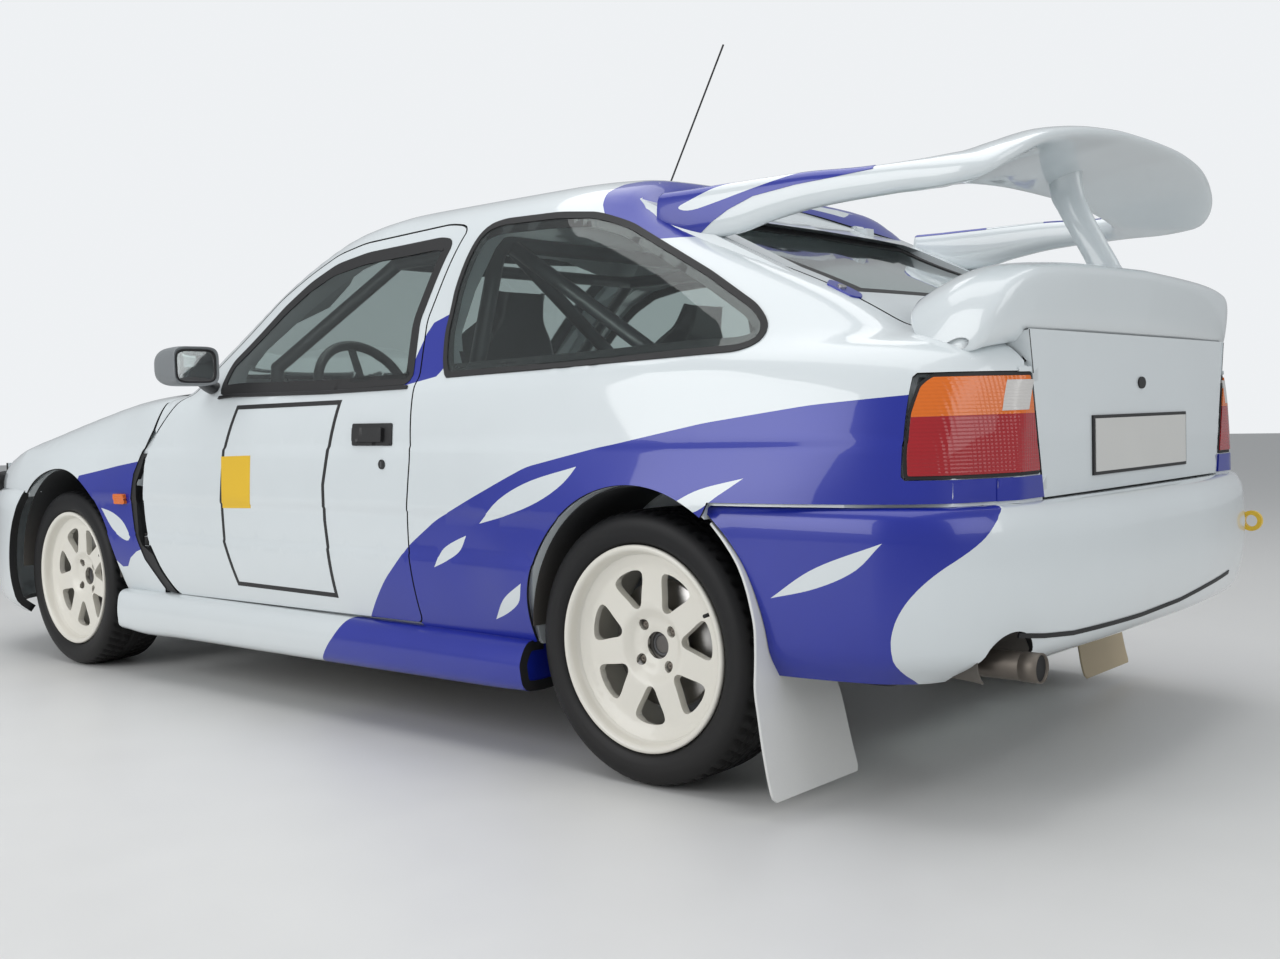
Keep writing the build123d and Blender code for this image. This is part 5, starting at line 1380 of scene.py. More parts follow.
WHEELS = (("front_left", WHEELBASE, 1, 1465), ("front_right", WHEELBASE, -1, 1465),
          ("rear_left", 0, 1, 1488), ("rear_right", 0, -1, 1488))
for name, place, side, track in WHEELS:
    body, node = f"wheel_{name}", f"rim_{name}"
    disc = wheel_piece(f"wheel_disc_{name}", disc_points, disc_faces, place, side, track, body, [WHEEL])
    wall(disc, 20.0)
    rounded_edges(disc, 3.0, 3, 50)
    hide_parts(node)
    for label, profile, finish_here in (
        ("barrel", BARREL, WHEEL), ("hub", ring_profile(28, 66, -26, 22), STEEL),
        ("axle_nut", ring_profile(19.8, 27, -4, 22), IRON),
        ("brake_disc", ring_profile(66, 139, -10, 14), DISC_STEEL),
    ):
        points, faces = turned(profile[::-1], 120 if label == "barrel" else 72)
        piece = wheel_piece(f"{label}_{name}", points, faces, place, side, track, body, [finish_here])
        outward(piece)
        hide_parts(node)
    for number, turn in enumerate(BOLT_TURNS):
        points, faces = turned(ring_profile(0.5, 9.2, 14, 37, 2.0)[::-1], 12)
        points = points + (BOLT_RADIUS * math.cos(turn), 0, BOLT_RADIUS * math.sin(turn))
        outward(wheel_piece(f"wheel_nut_{name}_{number}", points, faces, place, side, track, body, [SOOTY]))
    points, faces = turned(ring_profile(0.5, 4.2, -14, 14, 1.5)[::-1], 10)
    lean = math.radians(62)
    along_y = points[:, 1] * math.cos(lean) + 79
    points = np.stack([points[:, 0] + 193 - points[:, 1] * math.sin(lean) * 0.6, along_y, points[:, 2]], 1)
    turn = math.radians(154)
    points = np.stack([points[:, 0] * math.cos(turn) - points[:, 2] * math.sin(turn), points[:, 1],
                       points[:, 0] * math.sin(turn) + points[:, 2] * math.cos(turn)], 1)
    outward(wheel_piece(f"valve_{name}", points, faces, place, side, track, body, [RUBBER]))

# %% [markdown]
# ## Door hinges
# Each door hangs on two pins in the dark vent slot. The ears that hold a pin belong to the body
# and the barrel round it belongs to the door, so the hinge stays whole as the door swings. Plain
# blocks and a turned sleeve do, because only a dark glimpse of them shows; they wear the slot's
# near-black painted shade.
# %% Hinge ears and barrels
BOX_FACES = np.array([(0, 1, 3, 2), (4, 6, 7, 5), (0, 4, 5, 1), (2, 3, 7, 6), (0, 2, 6, 4), (1, 5, 7, 3)])
for side, sign in SIGNS:
    for number, height in enumerate((440, 575)):
        for label, low in (("low", height - 24), ("top", height + 17)):
            ends = np.array([(2037.6, sign * 787.6, low - 0.4), (2054.4, sign * 831.4, low + 7.4)])
            corners = np.array([(ends[i, 0], ends[j, 1], ends[k, 2])
                                for i in (0, 1) for j in (0, 1) for k in (0, 1)])
            # Ears and barrels wear the near-black painted shade of the slot.
            ear = make_piece(f"hinge_ear_{label}_{number}_{side}", corners, BOX_FACES, [RECESS_SHADE], "chassis")
            outward(ear)
        points, faces = turned(ring_profile(0.5, 10.4, -15.4, 15.4)[::-1], 24)
        points = points[:, [0, 2, 1]] + (2046, sign * 825, height)
        outward(make_piece(f"hinge_barrel_{number}_{side}", points, faces, [RECESS_SHADE], f"door_{side}"))

# %% [markdown]
# ## Tyres
# A tyre is a profile turned round the axle: bead, bulging sidewall, shoulder and a nearly flat
# tread. The tread is then pushed in where the grooves run: two round the tyre and slanting ones
# from the middle to the shoulders. The sidewall gets thin raised rings and no lettering.
# %% Tyre shape
TYRE_SIDE = np.array([
    (205, 71), (211, 79), (219, 86), (224, 89.5), (226, 94), (230, 97.5), (236, 99.5), (247, 102.6),
    (258, 103.6),
    (268, 102.6), (277, 99.5), (284, 94.5), (289, 88.5), (292, 82), (293.6, 74), (294.5, 60), (295, 30),
    (295, 0),
], float)
GROOVES = 60


def tyre_points(count=270, rows_side=26, rows_tread=23):
    """The profile carried round, with the groove depth taken off the radius on the tread."""
    half = smooth(along(TYRE_SIDE), TYRE_SIDE, np.linspace(0, 0.80, rows_side))
    tread_y = np.linspace(half[-1, 1], 0.0, rows_tread)[1:]
    tread_r = np.interp(tread_y, TYRE_SIDE[::-1, 1][:6], TYRE_SIDE[::-1, 0][:6])
    section = np.concatenate([half, np.stack([tread_r, tread_y], 1)])
    section = np.concatenate([section, section[-2::-1] * (1, -1)])
    turn = round_turns(count)[:, None]
    radius = np.broadcast_to(section[:, 0], (count, len(section))).copy()
    y = np.broadcast_to(section[:, 1], radius.shape)
    slant = np.mod(turn / (2 * math.pi) * GROOVES + np.abs(y) / 60.0, 1.0)
    cut = (slant < 0.24) & (np.abs(y) > 16) & (np.abs(y) < 88)
    round_cut = (np.abs(np.abs(y) - 14.0) < 4.2) | (np.abs(np.abs(y) - 52.0) < 3.4)
    on_tread = radius > 288.5
    radius -= np.where(on_tread & (cut | round_cut), np.clip((radius - 288.5) / 4.0, 0, 1) * 6.0, 0.0)
    ribs = (np.abs(radius - 240.0) < 1.4) | (np.abs(radius - 276.0) < 1.2)
    y = y + np.sign(y) * np.where(ribs & ~on_tread, 0.8, 0.0)
    return np.stack([radius * np.cos(turn), y, radius * np.sin(turn)], -1)


tyre_grid = tyre_points()
tyre_faces = grid_faces(*tyre_grid.shape[:2], closed_rows=True, closed_columns=True)
for name, place, side, track in WHEELS:
    tyre = outward(wheel_piece(f"tyre_{name}_skin", tyre_grid.reshape(-1, 3), tyre_faces, place, side, track,
                               f"wheel_{name}", [TYRE]))
    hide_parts(f"tyre_{name}")
print("tyre faces", len(tyre_faces))

# %% [markdown]
# ## Side skirts
# A skirt is a bulged moulding under the doors. Its section is the same half-round all along, so
# it is a profile carried along the sill, a little wider at both ends. The blue starts at a
# slanting line, as on the body above it.
# %% Skirts
SKIRT_ROWS = np.array([
    (338, 846, 868, 848, 166), (420, 843, 867, 844, 162), (560, 838, 862, 836, 158),
    (800, 834, 857, 829, 154),
    (1400, 834, 855, 826, 149), (1900, 834, 854, 824, 145), (2060, 838, 857, 824, 141),
    (2186, 847, 861, 822, 148),
], float)
SKIRT_LENGTH = 300.0


def skirt_chart(points, lift):
    """(place, distance round the section) to millimetres on the left skirt."""
    rows = smooth(SKIRT_ROWS[:, 0], SKIRT_ROWS[:, 1:], points[:, 0])
    top, bulge, low, base = rows.T
    count = len(points)
    ring = np.stack([
        np.stack([np.full(count, 792.0), np.full(count, 281.0)], 1),
        np.stack([top - 8, np.full(count, 280.0)], 1),
        np.stack([top + 6, np.full(count, 270.0)], 1), np.stack([bulge, np.full(count, 240.0)], 1),
        np.stack([bulge + 1, base + 45], 1), np.stack([bulge - 6, base + 16], 1),
        np.stack([low - 4, base + 1], 1),
        np.stack([np.full(count, 770.0), base - 1], 1), np.stack([np.full(count, 704.0), base + 12], 1),
    ])
    knots = np.array([0.0, 0.15, 0.22, 0.35, 0.55, 0.66, 0.75, 0.88, 1.0])
    share = np.clip(points[:, 1] / SKIRT_LENGTH, 0, 1)
    cell = np.clip(np.searchsorted(knots, share, side="right") - 1, 0, 7)
    index = np.arange(count)
    slopes = np.diff(ring, axis=0) / np.diff(knots)[:, None, None]
    tangents = np.concatenate([slopes[:1], (slopes[:-1] + slopes[1:]) * 0.5, slopes[-1:]])
    h = (knots[1:] - knots[:-1])[cell][:, None]
    t = ((share - knots[cell]) / h[:, 0])[:, None]
    curve = (ring[cell, index] * (2 * t ** 3 - 3 * t ** 2 + 1)
             + tangents[cell, index] * h * (t ** 3 - 2 * t ** 2 + t)
             + ring[cell + 1, index] * (3 * t ** 2 - 2 * t ** 3)
             + tangents[cell + 1, index] * h * (t ** 3 - t ** 2))
    return np.stack([points[:, 0], curve[:, 0], curve[:, 1]], 1)


skirt_outline = filled_in([(338, 0), (338, SKIRT_LENGTH), (2188, SKIRT_LENGTH), (2188, 0)], 12.0)
skirt_blue = filled_in([(300, -20), (300, 320), (1190, 320), (1130, 215), (1060, 120), (1012, 40),
                        (1000, -20)], 14.0)
for side, mirror in SIDES:
    piece = skin(f"skirt_skin_{side}", skirt_outline, "chassis", PAINT_AND_RIM_SHADE, marks=[skirt_blue],
                 chart=skirt_chart, thickness=24.0, mirror=mirror, step=14)
    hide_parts("side_skirts")
    for end, place in (("rear", 341.0), ("front", 2184.0)):
        section = skirt_chart(np.stack([np.full(60, place), np.linspace(0, SKIRT_LENGTH, 60)], 1), 0.0)
        points = np.concatenate([section, section.mean(0)[None]])
        faces = np.stack([np.arange(60), (np.arange(60) + 1) % 60, np.full(60, 60)], 1)
        points, faces = (points * (1, -1, 1), faces[:, ::-1]) if mirror else (points, faces)
        cap = make_piece(f"skirt_end_{end}_{side}", points, faces, [BLUE if end == "rear" else WHITE],
                         "chassis")
        wall(facing(cap, (-1 if end == "rear" else 1, 0, 0)), 3.0)
        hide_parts("side_skirts")

# %% [markdown]
# ## Door mirrors
# A mirror's housing is a rounded box. Its sections across the car are superellipses, whose
# power goes from nearly square at the open rear to round at the nose. The glass sits a little
# inside the rear edge with a black frame round it.
# %% Mirrors
MIRROR_ROWS = np.array([
    (1552, 30, 20, 0.5), (1548, 57, 41, 0.42), (1534, 62, 46, 0.42), (1529, 66, 50, 0.42),
    (1528, 69, 53, 0.42), (1532, 70.5, 54.5, 0.42), (1560, 71, 55.5, 0.44),
    (1610, 69, 54, 0.5), (1650, 60, 46, 0.6), (1672, 44, 33, 0.75), (1681, 24, 18, 0.9), (1683.5, 3, 2, 1.0),
], float)


def squircle(rows, turns, centre):
    """Closed sections across the car: half width times cos to a power, half height times sin to it."""
    place, wide, high, power = [rows[:, k][:, None] for k in range(4)]
    return np.stack([np.broadcast_to(place, (len(rows), len(turns))),
                     centre[0] + wide * ellipse_power(np.cos(turns), power),
                     centre[1] + high * ellipse_power(np.sin(turns), power)], -1)


MIRROR_CENTRE = (940, 960)
round_turn = round_turns(56)
housing_rows = smooth(np.linspace(0, 1, len(MIRROR_ROWS)), MIRROR_ROWS, np.linspace(0, 1, 46))
housing_grid = squircle(housing_rows, round_turn, MIRROR_CENTRE)
frame_rows = np.array([(1531.5, 62.5, 46.5, 0.4), (1530.0, 61, 45, 0.4), (1531.0, 57.5, 41.5, 0.4),
                       (1534.5, 56.5, 40.5, 0.4)])
glass_rows = np.array([(1534.4, 58, 42, 0.4), (1533.8, 50, 35, 0.45), (1533.0, 28, 20, 0.6),
                       (1532.6, 0.4, 0.3, 0.9)])
FOOT = np.array([(1702, 770, 900, 34, 20), (1692, 800, 905, 32, 19), (1665, 845, 920, 28, 17),
                 (1625, 885, 938, 26, 18)], float)
foot_rows = smooth(along(FOOT[:, :3]), FOOT, np.linspace(0, 1, 24))[:, None]
foot_grid = foot_rows[..., :3] + np.stack([foot_rows[..., 3] * np.cos(round_turn),
                                           0 * foot_rows[..., 3] * round_turn,
                                           foot_rows[..., 4] * np.sin(round_turn)], -1)
for side, sign in SIGNS:
    body, node = f"door_{side}", f"mirror_{side}"
    for name, grid, finish_here in (("housing", housing_grid, GREY), ("foot", foot_grid, BLACK)):
        piece = make_grid(f"mirror_{name}_{side}", grid * (1, sign, 1), [finish_here], body)
        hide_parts(node)
    for name, rows, finish_here, depth in (("frame", frame_rows, BLACK, 3.0),
                                           ("glass", glass_rows, MIRROR, 2.0)):
        grid = squircle(rows, round_turn, MIRROR_CENTRE) * (1, sign, 1)
        faces = grid_faces(*grid.shape[:2], closed_columns=True)
        faces = faces if sign > 0 else faces[:, ::-1]
        piece = make_piece(f"mirror_{name}_{side}", grid.reshape(-1, 3), faces, [finish_here], body)
        piece.data.update()
        wall(facing(piece, (-1, 0, 0)), depth)

# %% [markdown]
# ## Mud flaps
# A flap is a sheet of white plastic screwed along the arch's rear lip. It hangs free behind the
# tyre and bellies out a little in the middle. The sheet is a grid over its width and its length
# down the arch, so the belly is one sine in each direction.
# %% Mud flaps
FLAP_ROWS = np.array([
    # place, height, inner half-width, outer half-width
    (-206, 572, 800, 848), (-248, 534, 790, 856), (-286, 487, 780, 862), (-314, 425, 765, 868),
    (-329, 360, 740, 872),
    (-331, 300, 690, 876), (-331, 262, 620, 879), (-340, 200, 592, 882), (-353, 120, 582, 883),
    (-366, 60, 578, 883), (-372, 42, 580, 881), (-374, 38, 588, 873),
], float)
lengths, widths = np.meshgrid(np.linspace(0, 1, 60), np.linspace(0, 1, 26), indexing="ij")
rows = smooth(along(FLAP_ROWS[:, :2]), FLAP_ROWS, lengths)
belly = 5.0 * np.sin(np.pi * widths) * np.sin(np.pi * np.clip((lengths - 0.4) / 0.6, 0, 1))
flap_grid = np.stack([rows[..., 0] - belly, rows[..., 2] + (rows[..., 3] - rows[..., 2]) * widths,
                      rows[..., 1]], -1)
OLD_FLAP = finish("yellowed_flap", (0.62, 0.50, 0.30), 0.55, grain=120.0, depth=0.2, shade=0.15, dust=0.45)
for side, sign, finish_here in (("left", 1, FLAP), ("right", -1, OLD_FLAP)):
    faces = grid_faces(60, 26)
    piece = make_piece(f"flap_{side}", (flap_grid * (1, sign, 1)).reshape(-1, 3), faces, [finish_here],
                       "chassis")
    wall(facing(piece, (-1, 0, 0)), 6.0)
    rounded_edges(piece, 1.5, 2, 50)
    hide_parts("mud_flaps")

# %% [markdown]
# ## Inside the wheel wells
# Each well is lined with a black sheet bent to the arch, so that no paint shows round the tyre.
# The tail pipe ends in a rolled sleeve, closed by a near-black disc of painted shade for its dark mouth.
# %% Wheel wells and tail pipe
for name, place, radius, reach in (("front", WHEELBASE, 344.0, (590, 836)), ("rear", 0.0, 325.0, (590, 836))):
    for side in (1, -1):
        turn, across = np.meshgrid(np.radians(np.linspace(0, 180, 72)), np.linspace(*reach, 12),
                                   indexing="ij")
        points = np.stack([place + radius * np.cos(turn), across, ARCH_Z + radius * np.sin(turn)],
                          -1).reshape(-1, 3) * (1, side, 1)
        faces = grid_faces(72, 12)
        liner = make_piece(f"well_liner_{name}_{side + 1}", points, faces if side > 0 else faces[:, ::-1],
                           [UNDER], "chassis")
        if sum((face.center.z - ARCH_Z / 1000) * face.normal.z for face in liner.data.polygons) < 0:
            liner.data.flip_normals()
        wall(liner, 2.0)
sleeve = np.array([(-770, 28), (-805, 28.5), (-807, 27), (-805, 25), (-790, 24.5), (-790, 22), (-770, 22)],
                  float)
turn = round_turns(48)[:, None]
points = np.stack([np.broadcast_to(sleeve[:, 0], (48, 7)), 640 + sleeve[:, 1] * np.cos(turn),
                   306 + sleeve[:, 1] * np.sin(turn)], -1)
sleeve_faces = grid_faces(48, 7, closed_rows=True, closed_columns=True)
outward(make_piece("pipe_sleeve", points.reshape(-1, 3), sleeve_faces, [SOOTY],
                   "chassis"))
mouth = np.concatenate([np.stack([np.full(48, -801.5), 640 + 26.5 * np.cos(turn[:, 0]),
                                  306 + 26.5 * np.sin(turn[:, 0])], 1),
                        [(-801.5, 640, 306)]])
mouth_faces = np.stack([np.arange(48), (np.arange(48) + 1) % 48, np.full(48, 48)], 1)
# A near-black disc of painted shade inside the sleeve stands for the pipe's dark mouth.
cap = make_piece("pipe_mouth", mouth, mouth_faces, [RECESS_SHADE], "chassis")
wall(facing(cap, (-1, 0, 0)), 1.0)

# %% [markdown]
# ## Bucket seats
# A competition seat is a glass-fibre shell with sewn pads laid in it. The shell is a sheet
# carried along the seat's side profile that curls forward at both edges. Each pad is a tube of
# sections that swell in the middle and pull in at the ends, with grooves where it is sewn.
# %% Seats
SHELL = np.array([
    # place, height, half-width, depth of the curled sides
    (1340, 366, 205, 30), (1250, 346, 214, 50), (1100, 322, 218, 66), (960, 308, 220, 80),
    (900, 330, 224, 96),
    (876, 420, 228, 104), (856, 560, 234, 108), (834, 740, 238, 100), (806, 900, 232, 84),
    (786, 1000, 176, 62), (774, 1060, 116, 40), (760, 1126, 100, 24),
], float)
SHELL_SHARE = along(SHELL[:, :2])


def seat_points(share, across, rise):
    """Point on the seat: along its profile, across its width, and above the shell's face."""
    rows = smooth(SHELL_SHARE, SHELL, share)
    ahead = (smooth(SHELL_SHARE, SHELL, np.clip(share + 0.004, 0, 1))
             - smooth(SHELL_SHARE, SHELL, np.clip(share - 0.004, 0, 1)))
    size = np.hypot(ahead[..., 0], ahead[..., 1])
    normal = np.stack([ahead[..., 1] / size, -ahead[..., 0] / size], -1)
    edge = np.clip((np.abs(across) - 0.62) / 0.38, 0, 1)
    height = rows[..., 3] * edge ** 2 * (3 - 2 * edge) + rise
    return np.stack([rows[..., 0] + normal[..., 0] * height, rows[..., 2] * (across - 0.08 * across ** 3),
                     rows[..., 1] + normal[..., 1] * height], -1)


def pad_grid(start, end, middle, half, low, high, seams, count=72, ring=36):
    """A pad between two shares of the profile: sections are superellipses, pulled in at ends and seams."""
    along_it, turn = np.meshgrid(np.linspace(-1, 1, count), round_turns(ring), indexing="ij")
    swell = np.maximum(1 - np.abs(along_it) ** 5, 0.004) ** 0.45
    groove = sum(np.exp(-((along_it - seam) / 0.028) ** 2) for seam in seams) if seams else 0 * along_it
    share = start + (end - start) * (along_it * 0.5 + 0.5)
    across = middle + half * (1 - 0.12 * (1 - swell)) * ellipse_power(np.cos(turn), 0.6)
    upward = ellipse_power(np.sin(turn), 0.75)
    top = np.maximum(upward, 0) * (high - low) * 0.5 * swell * (1 - 0.28 * groove)
    bottom = np.minimum(upward, 0) * (high - low) * 0.5 * swell
    return seat_points(share, across, (low + high) * 0.5 + top + bottom)


SEAT_SHELL = finish("seat_shell", (0.022, 0.022, 0.024), 0.32, coat=0.6, grain=300.0, depth=0.05, shade=0.1)
PADS = (
    ("base", 0.015, 0.30, 0.0, 0.60, 3, 46, (-0.35, 0.0, 0.35)),
    ("back", 0.40, 0.80, 0.0, 0.58, 3, 44, (-0.6, -0.2, 0.2, 0.6)),
    ("head", 0.90, 0.985, 0.0, 0.66, 3, 36, ()),
    ("thigh_a", 0.03, 0.30, 0.80, 0.17, 6, 34, (0.0,)), ("thigh_b", 0.03, 0.30, -0.80, 0.17, 6, 34, (0.0,)),
    ("rib_a", 0.42, 0.78, 0.80, 0.16, 6, 40, (-0.4, 0.1)),
    ("rib_b", 0.42, 0.78, -0.80, 0.16, 6, 40, (-0.4, 0.1)),
)
shares, widths = np.meshgrid(np.linspace(0, 1, 90), np.linspace(-1, 1, 60), indexing="ij")
for side, sign in SIGNS:
    shell_points = seat_points(shares, widths, 0.0) + (0, 400 * sign, 0)
    piece = make_piece(f"seat_shell_{side}", shell_points.reshape(-1, 3), grid_faces(90, 60), [SEAT_SHELL],
                       "chassis")
    wall(piece, 9.0)
    rounded_edges(piece, 2.5, 2, 60)
    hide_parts("front_seats")
    for name, start, end, middle, half, low, high, seams in PADS:
        grid = pad_grid(start, end, middle, half, low, high, seams) + (0, 400 * sign, 0)
        piece = make_grid(f"seat_pad_{name}_{side}", grid, [CLOTH], "chassis")
        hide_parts("front_seats")
    for edge in (-1, 1):
        rail = np.array([[(place, 400 * sign + edge * 200, z) for z in (292, 306)] for place in (900, 1300)],
                        float)
        box = np.concatenate([rail.reshape(-1, 3) + (0, -8, 0), rail.reshape(-1, 3) + (0, 8, 0)])
        box[box[:, 2] < 300, 2] = 222
        piece = outward(make_piece(f"seat_bracket_{side}_{'in' if edge < 0 else 'out'}", box, BOX_FACES,
                                   [STEEL], "chassis", shade_smooth=False))
        rounded_edges(piece, 1.5)
        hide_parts("front_seats")
print("seat pads", 2 * len(PADS))

# %% [markdown]
# ## Small parts on the doors, wings and tail
# Handles, locks, strips and painted frames are thin plates that follow the body under them.
# Each is an outline on the body's surface with a lift and a thickness of its own.
# %% Door and wing details
SQUARE = ((1520, 841), (1035, 843), (1063, 747), (1097, 628), (1098, 535), (1075, 337), (1542, 340),
          (1590, 462), (1592, 578), (1571, 722))
YELLOW_FIELD = ((1583, 702), (1434, 705), (1445, 558), (1588, 555))
BELT_STRIP = ((1634, 876), (1560, 880), (1110, 875), (768, 878), (767, 869), (1110, 866), (1560, 871),
              (1636, 867))
square_line = filled_in(SQUARE, 4.0)


def plate(name, outline, body, material, lift, thickness, times=0, mirror=False,
          holes=(), edge=0.0):
    """A thin plate on the flank, from its outline in the side view."""
    shape = rounded(outline, times, reach=12) if times else outline
    piece = skin(name, side_points(filled_in(shape, 6.0)), body, [material], lift=lift,
                 thickness=thickness, mirror=mirror, step=14, holes=[side_points(hole) for hole in holes],
                 creases=press_lines if times == 0 and body.startswith("door") else ())
    return rounded_edges(piece, edge, 2, 50) if edge else piece


for side, mirror in SIDES:
    door = f"door_{side}"
    plate(f"handle_base_{side}", [(968, 730), (968, 786), (806, 785), (806, 729)], door, BLACK, 7.0, 5.0,
          times=2, mirror=mirror, edge=1.5)
    plate(f"handle_flap_{side}", [(958, 738), (958, 774), (838, 773), (838, 737)], door, BLACK, 16.0, 9.0,
          times=2, mirror=mirror, edge=3.0)
    plate(f"door_lock_{side}", arc((844, 682), 12, 0, 345, 24), door, BLACK, 7.5, 5.0, mirror=mirror,
          edge=1.0)
    plate(f"key_slot_{side}", [(847, 675), (847, 689), (841, 689), (841, 675)], door, STEEL, 8.1, 1.0,
          mirror=mirror)
    plate(f"square_line_{side}", grown(square_line, 6), door, BLACK, 4.6, 0.8, mirror=mirror,
          holes=[grown(square_line, -6)])
    plate(f"yellow_field_{side}", YELLOW_FIELD, door, YELLOW, 4.7, 0.8, mirror=mirror)
    plate(f"belt_strip_{side}", BELT_STRIP, door, BLACK, 9.0, 6.0, mirror=mirror, edge=1.5)
    plate(f"repeater_{side}", [(2176, 555), (2176, 586), (2120, 586), (2120, 555)], "chassis", AMBER_LENS,
          15.0, 11.0, times=2, mirror=mirror, edge=4.0)
tail_oval = np.stack([20 * np.cos(round_turn), 832 + 13 * np.sin(round_turn)], 1)
for name, outline, material, lift, thickness, slot_name in (
    ("tail_lock", tail_oval, BLACK, 4.0, 5.0, "black_plastic"),
    ("plate_frame", filled_in([(-268, 641), (268, 641), (268, 765), (-268, 765)], 20.0), BLACK, 5.0, 5.0,
     "black_plastic"),
    ("blank_plate", filled_in([(-260, 648), (260, 648), (260, 758), (-260, 758)], 20.0), PLATE, 7.0, 3.0,
     "white_paint"),
):
    piece = skin(name, outline, "tailgate", [material], lift=lift, thickness=thickness,
                 chart=tail_chart, step=24)
    rounded_edges(piece, 0.8, 2, 50)

# %% [markdown]
# ## Front end
# The nose isn't seen in the picture and follows the type. A chart like that of the tail corner
# runs along the flank and round onto the flat nose. The headlamps are clear covers over bright
# bowls, and the deep bumper has its intake and two ducts. Near-black walls of painted shade lie
# behind them and behind the grille's bars, for the dark inside.
# %% Nose chart
NOSE_HEIGHTS = np.arange(576.0, 708.0, CHART_RISE)
NOSE = bent_table(NOSE_HEIGHTS, np.linspace(3100.0, 3296.0, 80), 640.0, 0.0, 60, 3300.0, 4.0, 620.0, 900.0, 6)


def nose_chart(points, lift):
    """The bent chart of the left front corner, whose distances start at place 3100."""
    return bent_chart(NOSE, NOSE_HEIGHTS, points, lift, -1, 2.001)


def nose_from(height, **where):
    """Distance on the nose's chart for a place, or for a half-width y."""
    return bent_from(NOSE, NOSE_HEIGHTS, 702, height, **where)


# %% Nose, lamps and front bumper
lamp_shape = [(nose_from(h, place=3126), h) for h in (583, 634)] + [(nose_from(h, y=368), h) for h in (634,
                                                                                                       583)]
lamp_shape = filled_in(rounded(lamp_shape, 2, reach=14), 8.0)
nose_top = [(nose_from(700, y=y), 672 + 32 * (1 - (y / 560.0) ** 2)) for y in (560, 420, 280, 140, 1)]
nose_shape = filled_in([
    (nose_from(642, place=3192), 642), (nose_from(672, place=3192), 676), *nose_top,
    (nose_from(626, y=1), 626), (nose_from(626, y=300), 626), (nose_from(590, y=300), 590),
    (nose_from(590, y=1), 590),
    (nose_from(578, y=1), 578), (nose_from(578, y=352), 578), (nose_from(642, y=352), 642),
], 12.0)
nose_lid = top_points(stretch([(3262, 1), (3262, 556), (3297, 548), (3297, 1)]))
skin("nose_lid", np.concatenate([nose_lid, flipped(nose_lid)]), "chassis", PAINT_AND_RIM_SHADE)
for side, mirror in SIDES:
    skin(f"nose_skin_{side}", nose_shape[::-1], "chassis", PAINT_AND_RIM_SHADE, chart=nose_chart,
         mirror=mirror, step=14)
    lens_piece = skin(f"headlamp_cover_{side}", lamp_shape[::-1], "chassis", [GLASS],
                      lift=3.0, thickness=3.0, chart=nose_chart, mirror=mirror, step=14)
    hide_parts("headlamps")
    bowl = skin(f"headlamp_bowl_{side}", grown(lamp_shape, -4)[::-1], "chassis", [MIRROR],
                lift=-22.0, thickness=3.0, chart=nose_chart, mirror=mirror, step=14)
    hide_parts("headlamps")
    skin(f"headlamp_seal_{side}", grown(lamp_shape, 5)[::-1], "chassis", [RUBBER], lift=2.0,
         thickness=22.0, holes=[grown(lamp_shape, -3)[::-1]], chart=nose_chart, mirror=mirror, step=14)
grille_slot = [(-304, 586), (304, 586), (304, 630), (-304, 630)]


def front_chart_flat(points, lift):
    """(y, height) on a plane behind the nose slot."""
    return np.stack([np.full(len(points), 3284.0 + lift), points[:, 0], points[:, 1]], 1)


# A near-black plate of painted shade behind the grille slot.
skin("grille_back", filled_in(grille_slot, 30.0), "chassis", [RECESS_SHADE], chart=front_chart_flat,
     lift=0.0, step=40)
for number, height in enumerate((596, 608, 620)):
    bar = filled_in([(-300, height - 2.5), (300, height - 2.5), (300, height + 2.5), (-300, height + 2.5)],
                    30.0)
    skin(f"grille_bar_{number}", bar, "chassis", [BLACK], chart=front_chart_flat, lift=16.0,
         thickness=12.0)
front_arch = np.array([p for p in arc((WHEELBASE, ARCH_Z), 346, 47, -30, 40) if 166 < p[1] < 572])
front_left = bumper_points(front_table, front_arch, True)
front_left[0, 1] = 575 + bumper_roll + 30
front_right = front_left[::-1] * (-1, 1) + (FRONT_END, 0)
front_outline = filled_in(np.concatenate([front_left[:1], front_left, front_right]), 14.0)
intake = [(330, 265), (330, 420), (-330, 420), (-330, 265)]
ducts = [[(560, 300), (560, 400), (400, 400), (400, 300)], [(-400, 300), (-400, 400), (-560, 400),
                                                            (-560, 300)]]
openings = [bumper_points(front_table, filled_in(rounded(shape, 2, reach=16), 10.0),
                          False) for shape in (intake, *ducts)]
piece = skin("front_bumper_skin", front_outline, "chassis", PAINT_AND_RIM_SHADE, holes=openings,
             chart=front_chart, lift=1.0, thickness=26.0, mirror=True)
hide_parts("front_bumper")
# Near-black walls of painted shade behind the intake and ducts.
for number, opening in enumerate(openings):
    skin(f"intake_back_{number}", grown(opening, 14), "chassis", [RECESS_SHADE], chart=front_chart,
         lift=-78.0, thickness=3.0)

# %% [markdown]
# ## Bonnet louvres, pins and wipers
# The bonnet of the type has two banks of louvres over the engine and pins at its front. The
# louvres are raised plates over near-black plates of painted shade for their slots, all from one
# outline. The wipers lie at the foot of the screen, their arms and blades drawn as thin bars on
# the screen's surface.
# %% Bonnet and screen details


def top_plate(name, outline, body, material, lift, thickness, edge=0.0, step=14):
    """A thin plate on top of the body, from its outline in the plan view, on the left or right half."""
    outline = np.asarray(outline, float)
    shape = top_points(filled_in(outline, 8.0))
    piece = skin(name, shape, body, [material], lift=lift, thickness=thickness, step=step)
    return rounded_edges(piece, edge, 2, 50) if edge else piece


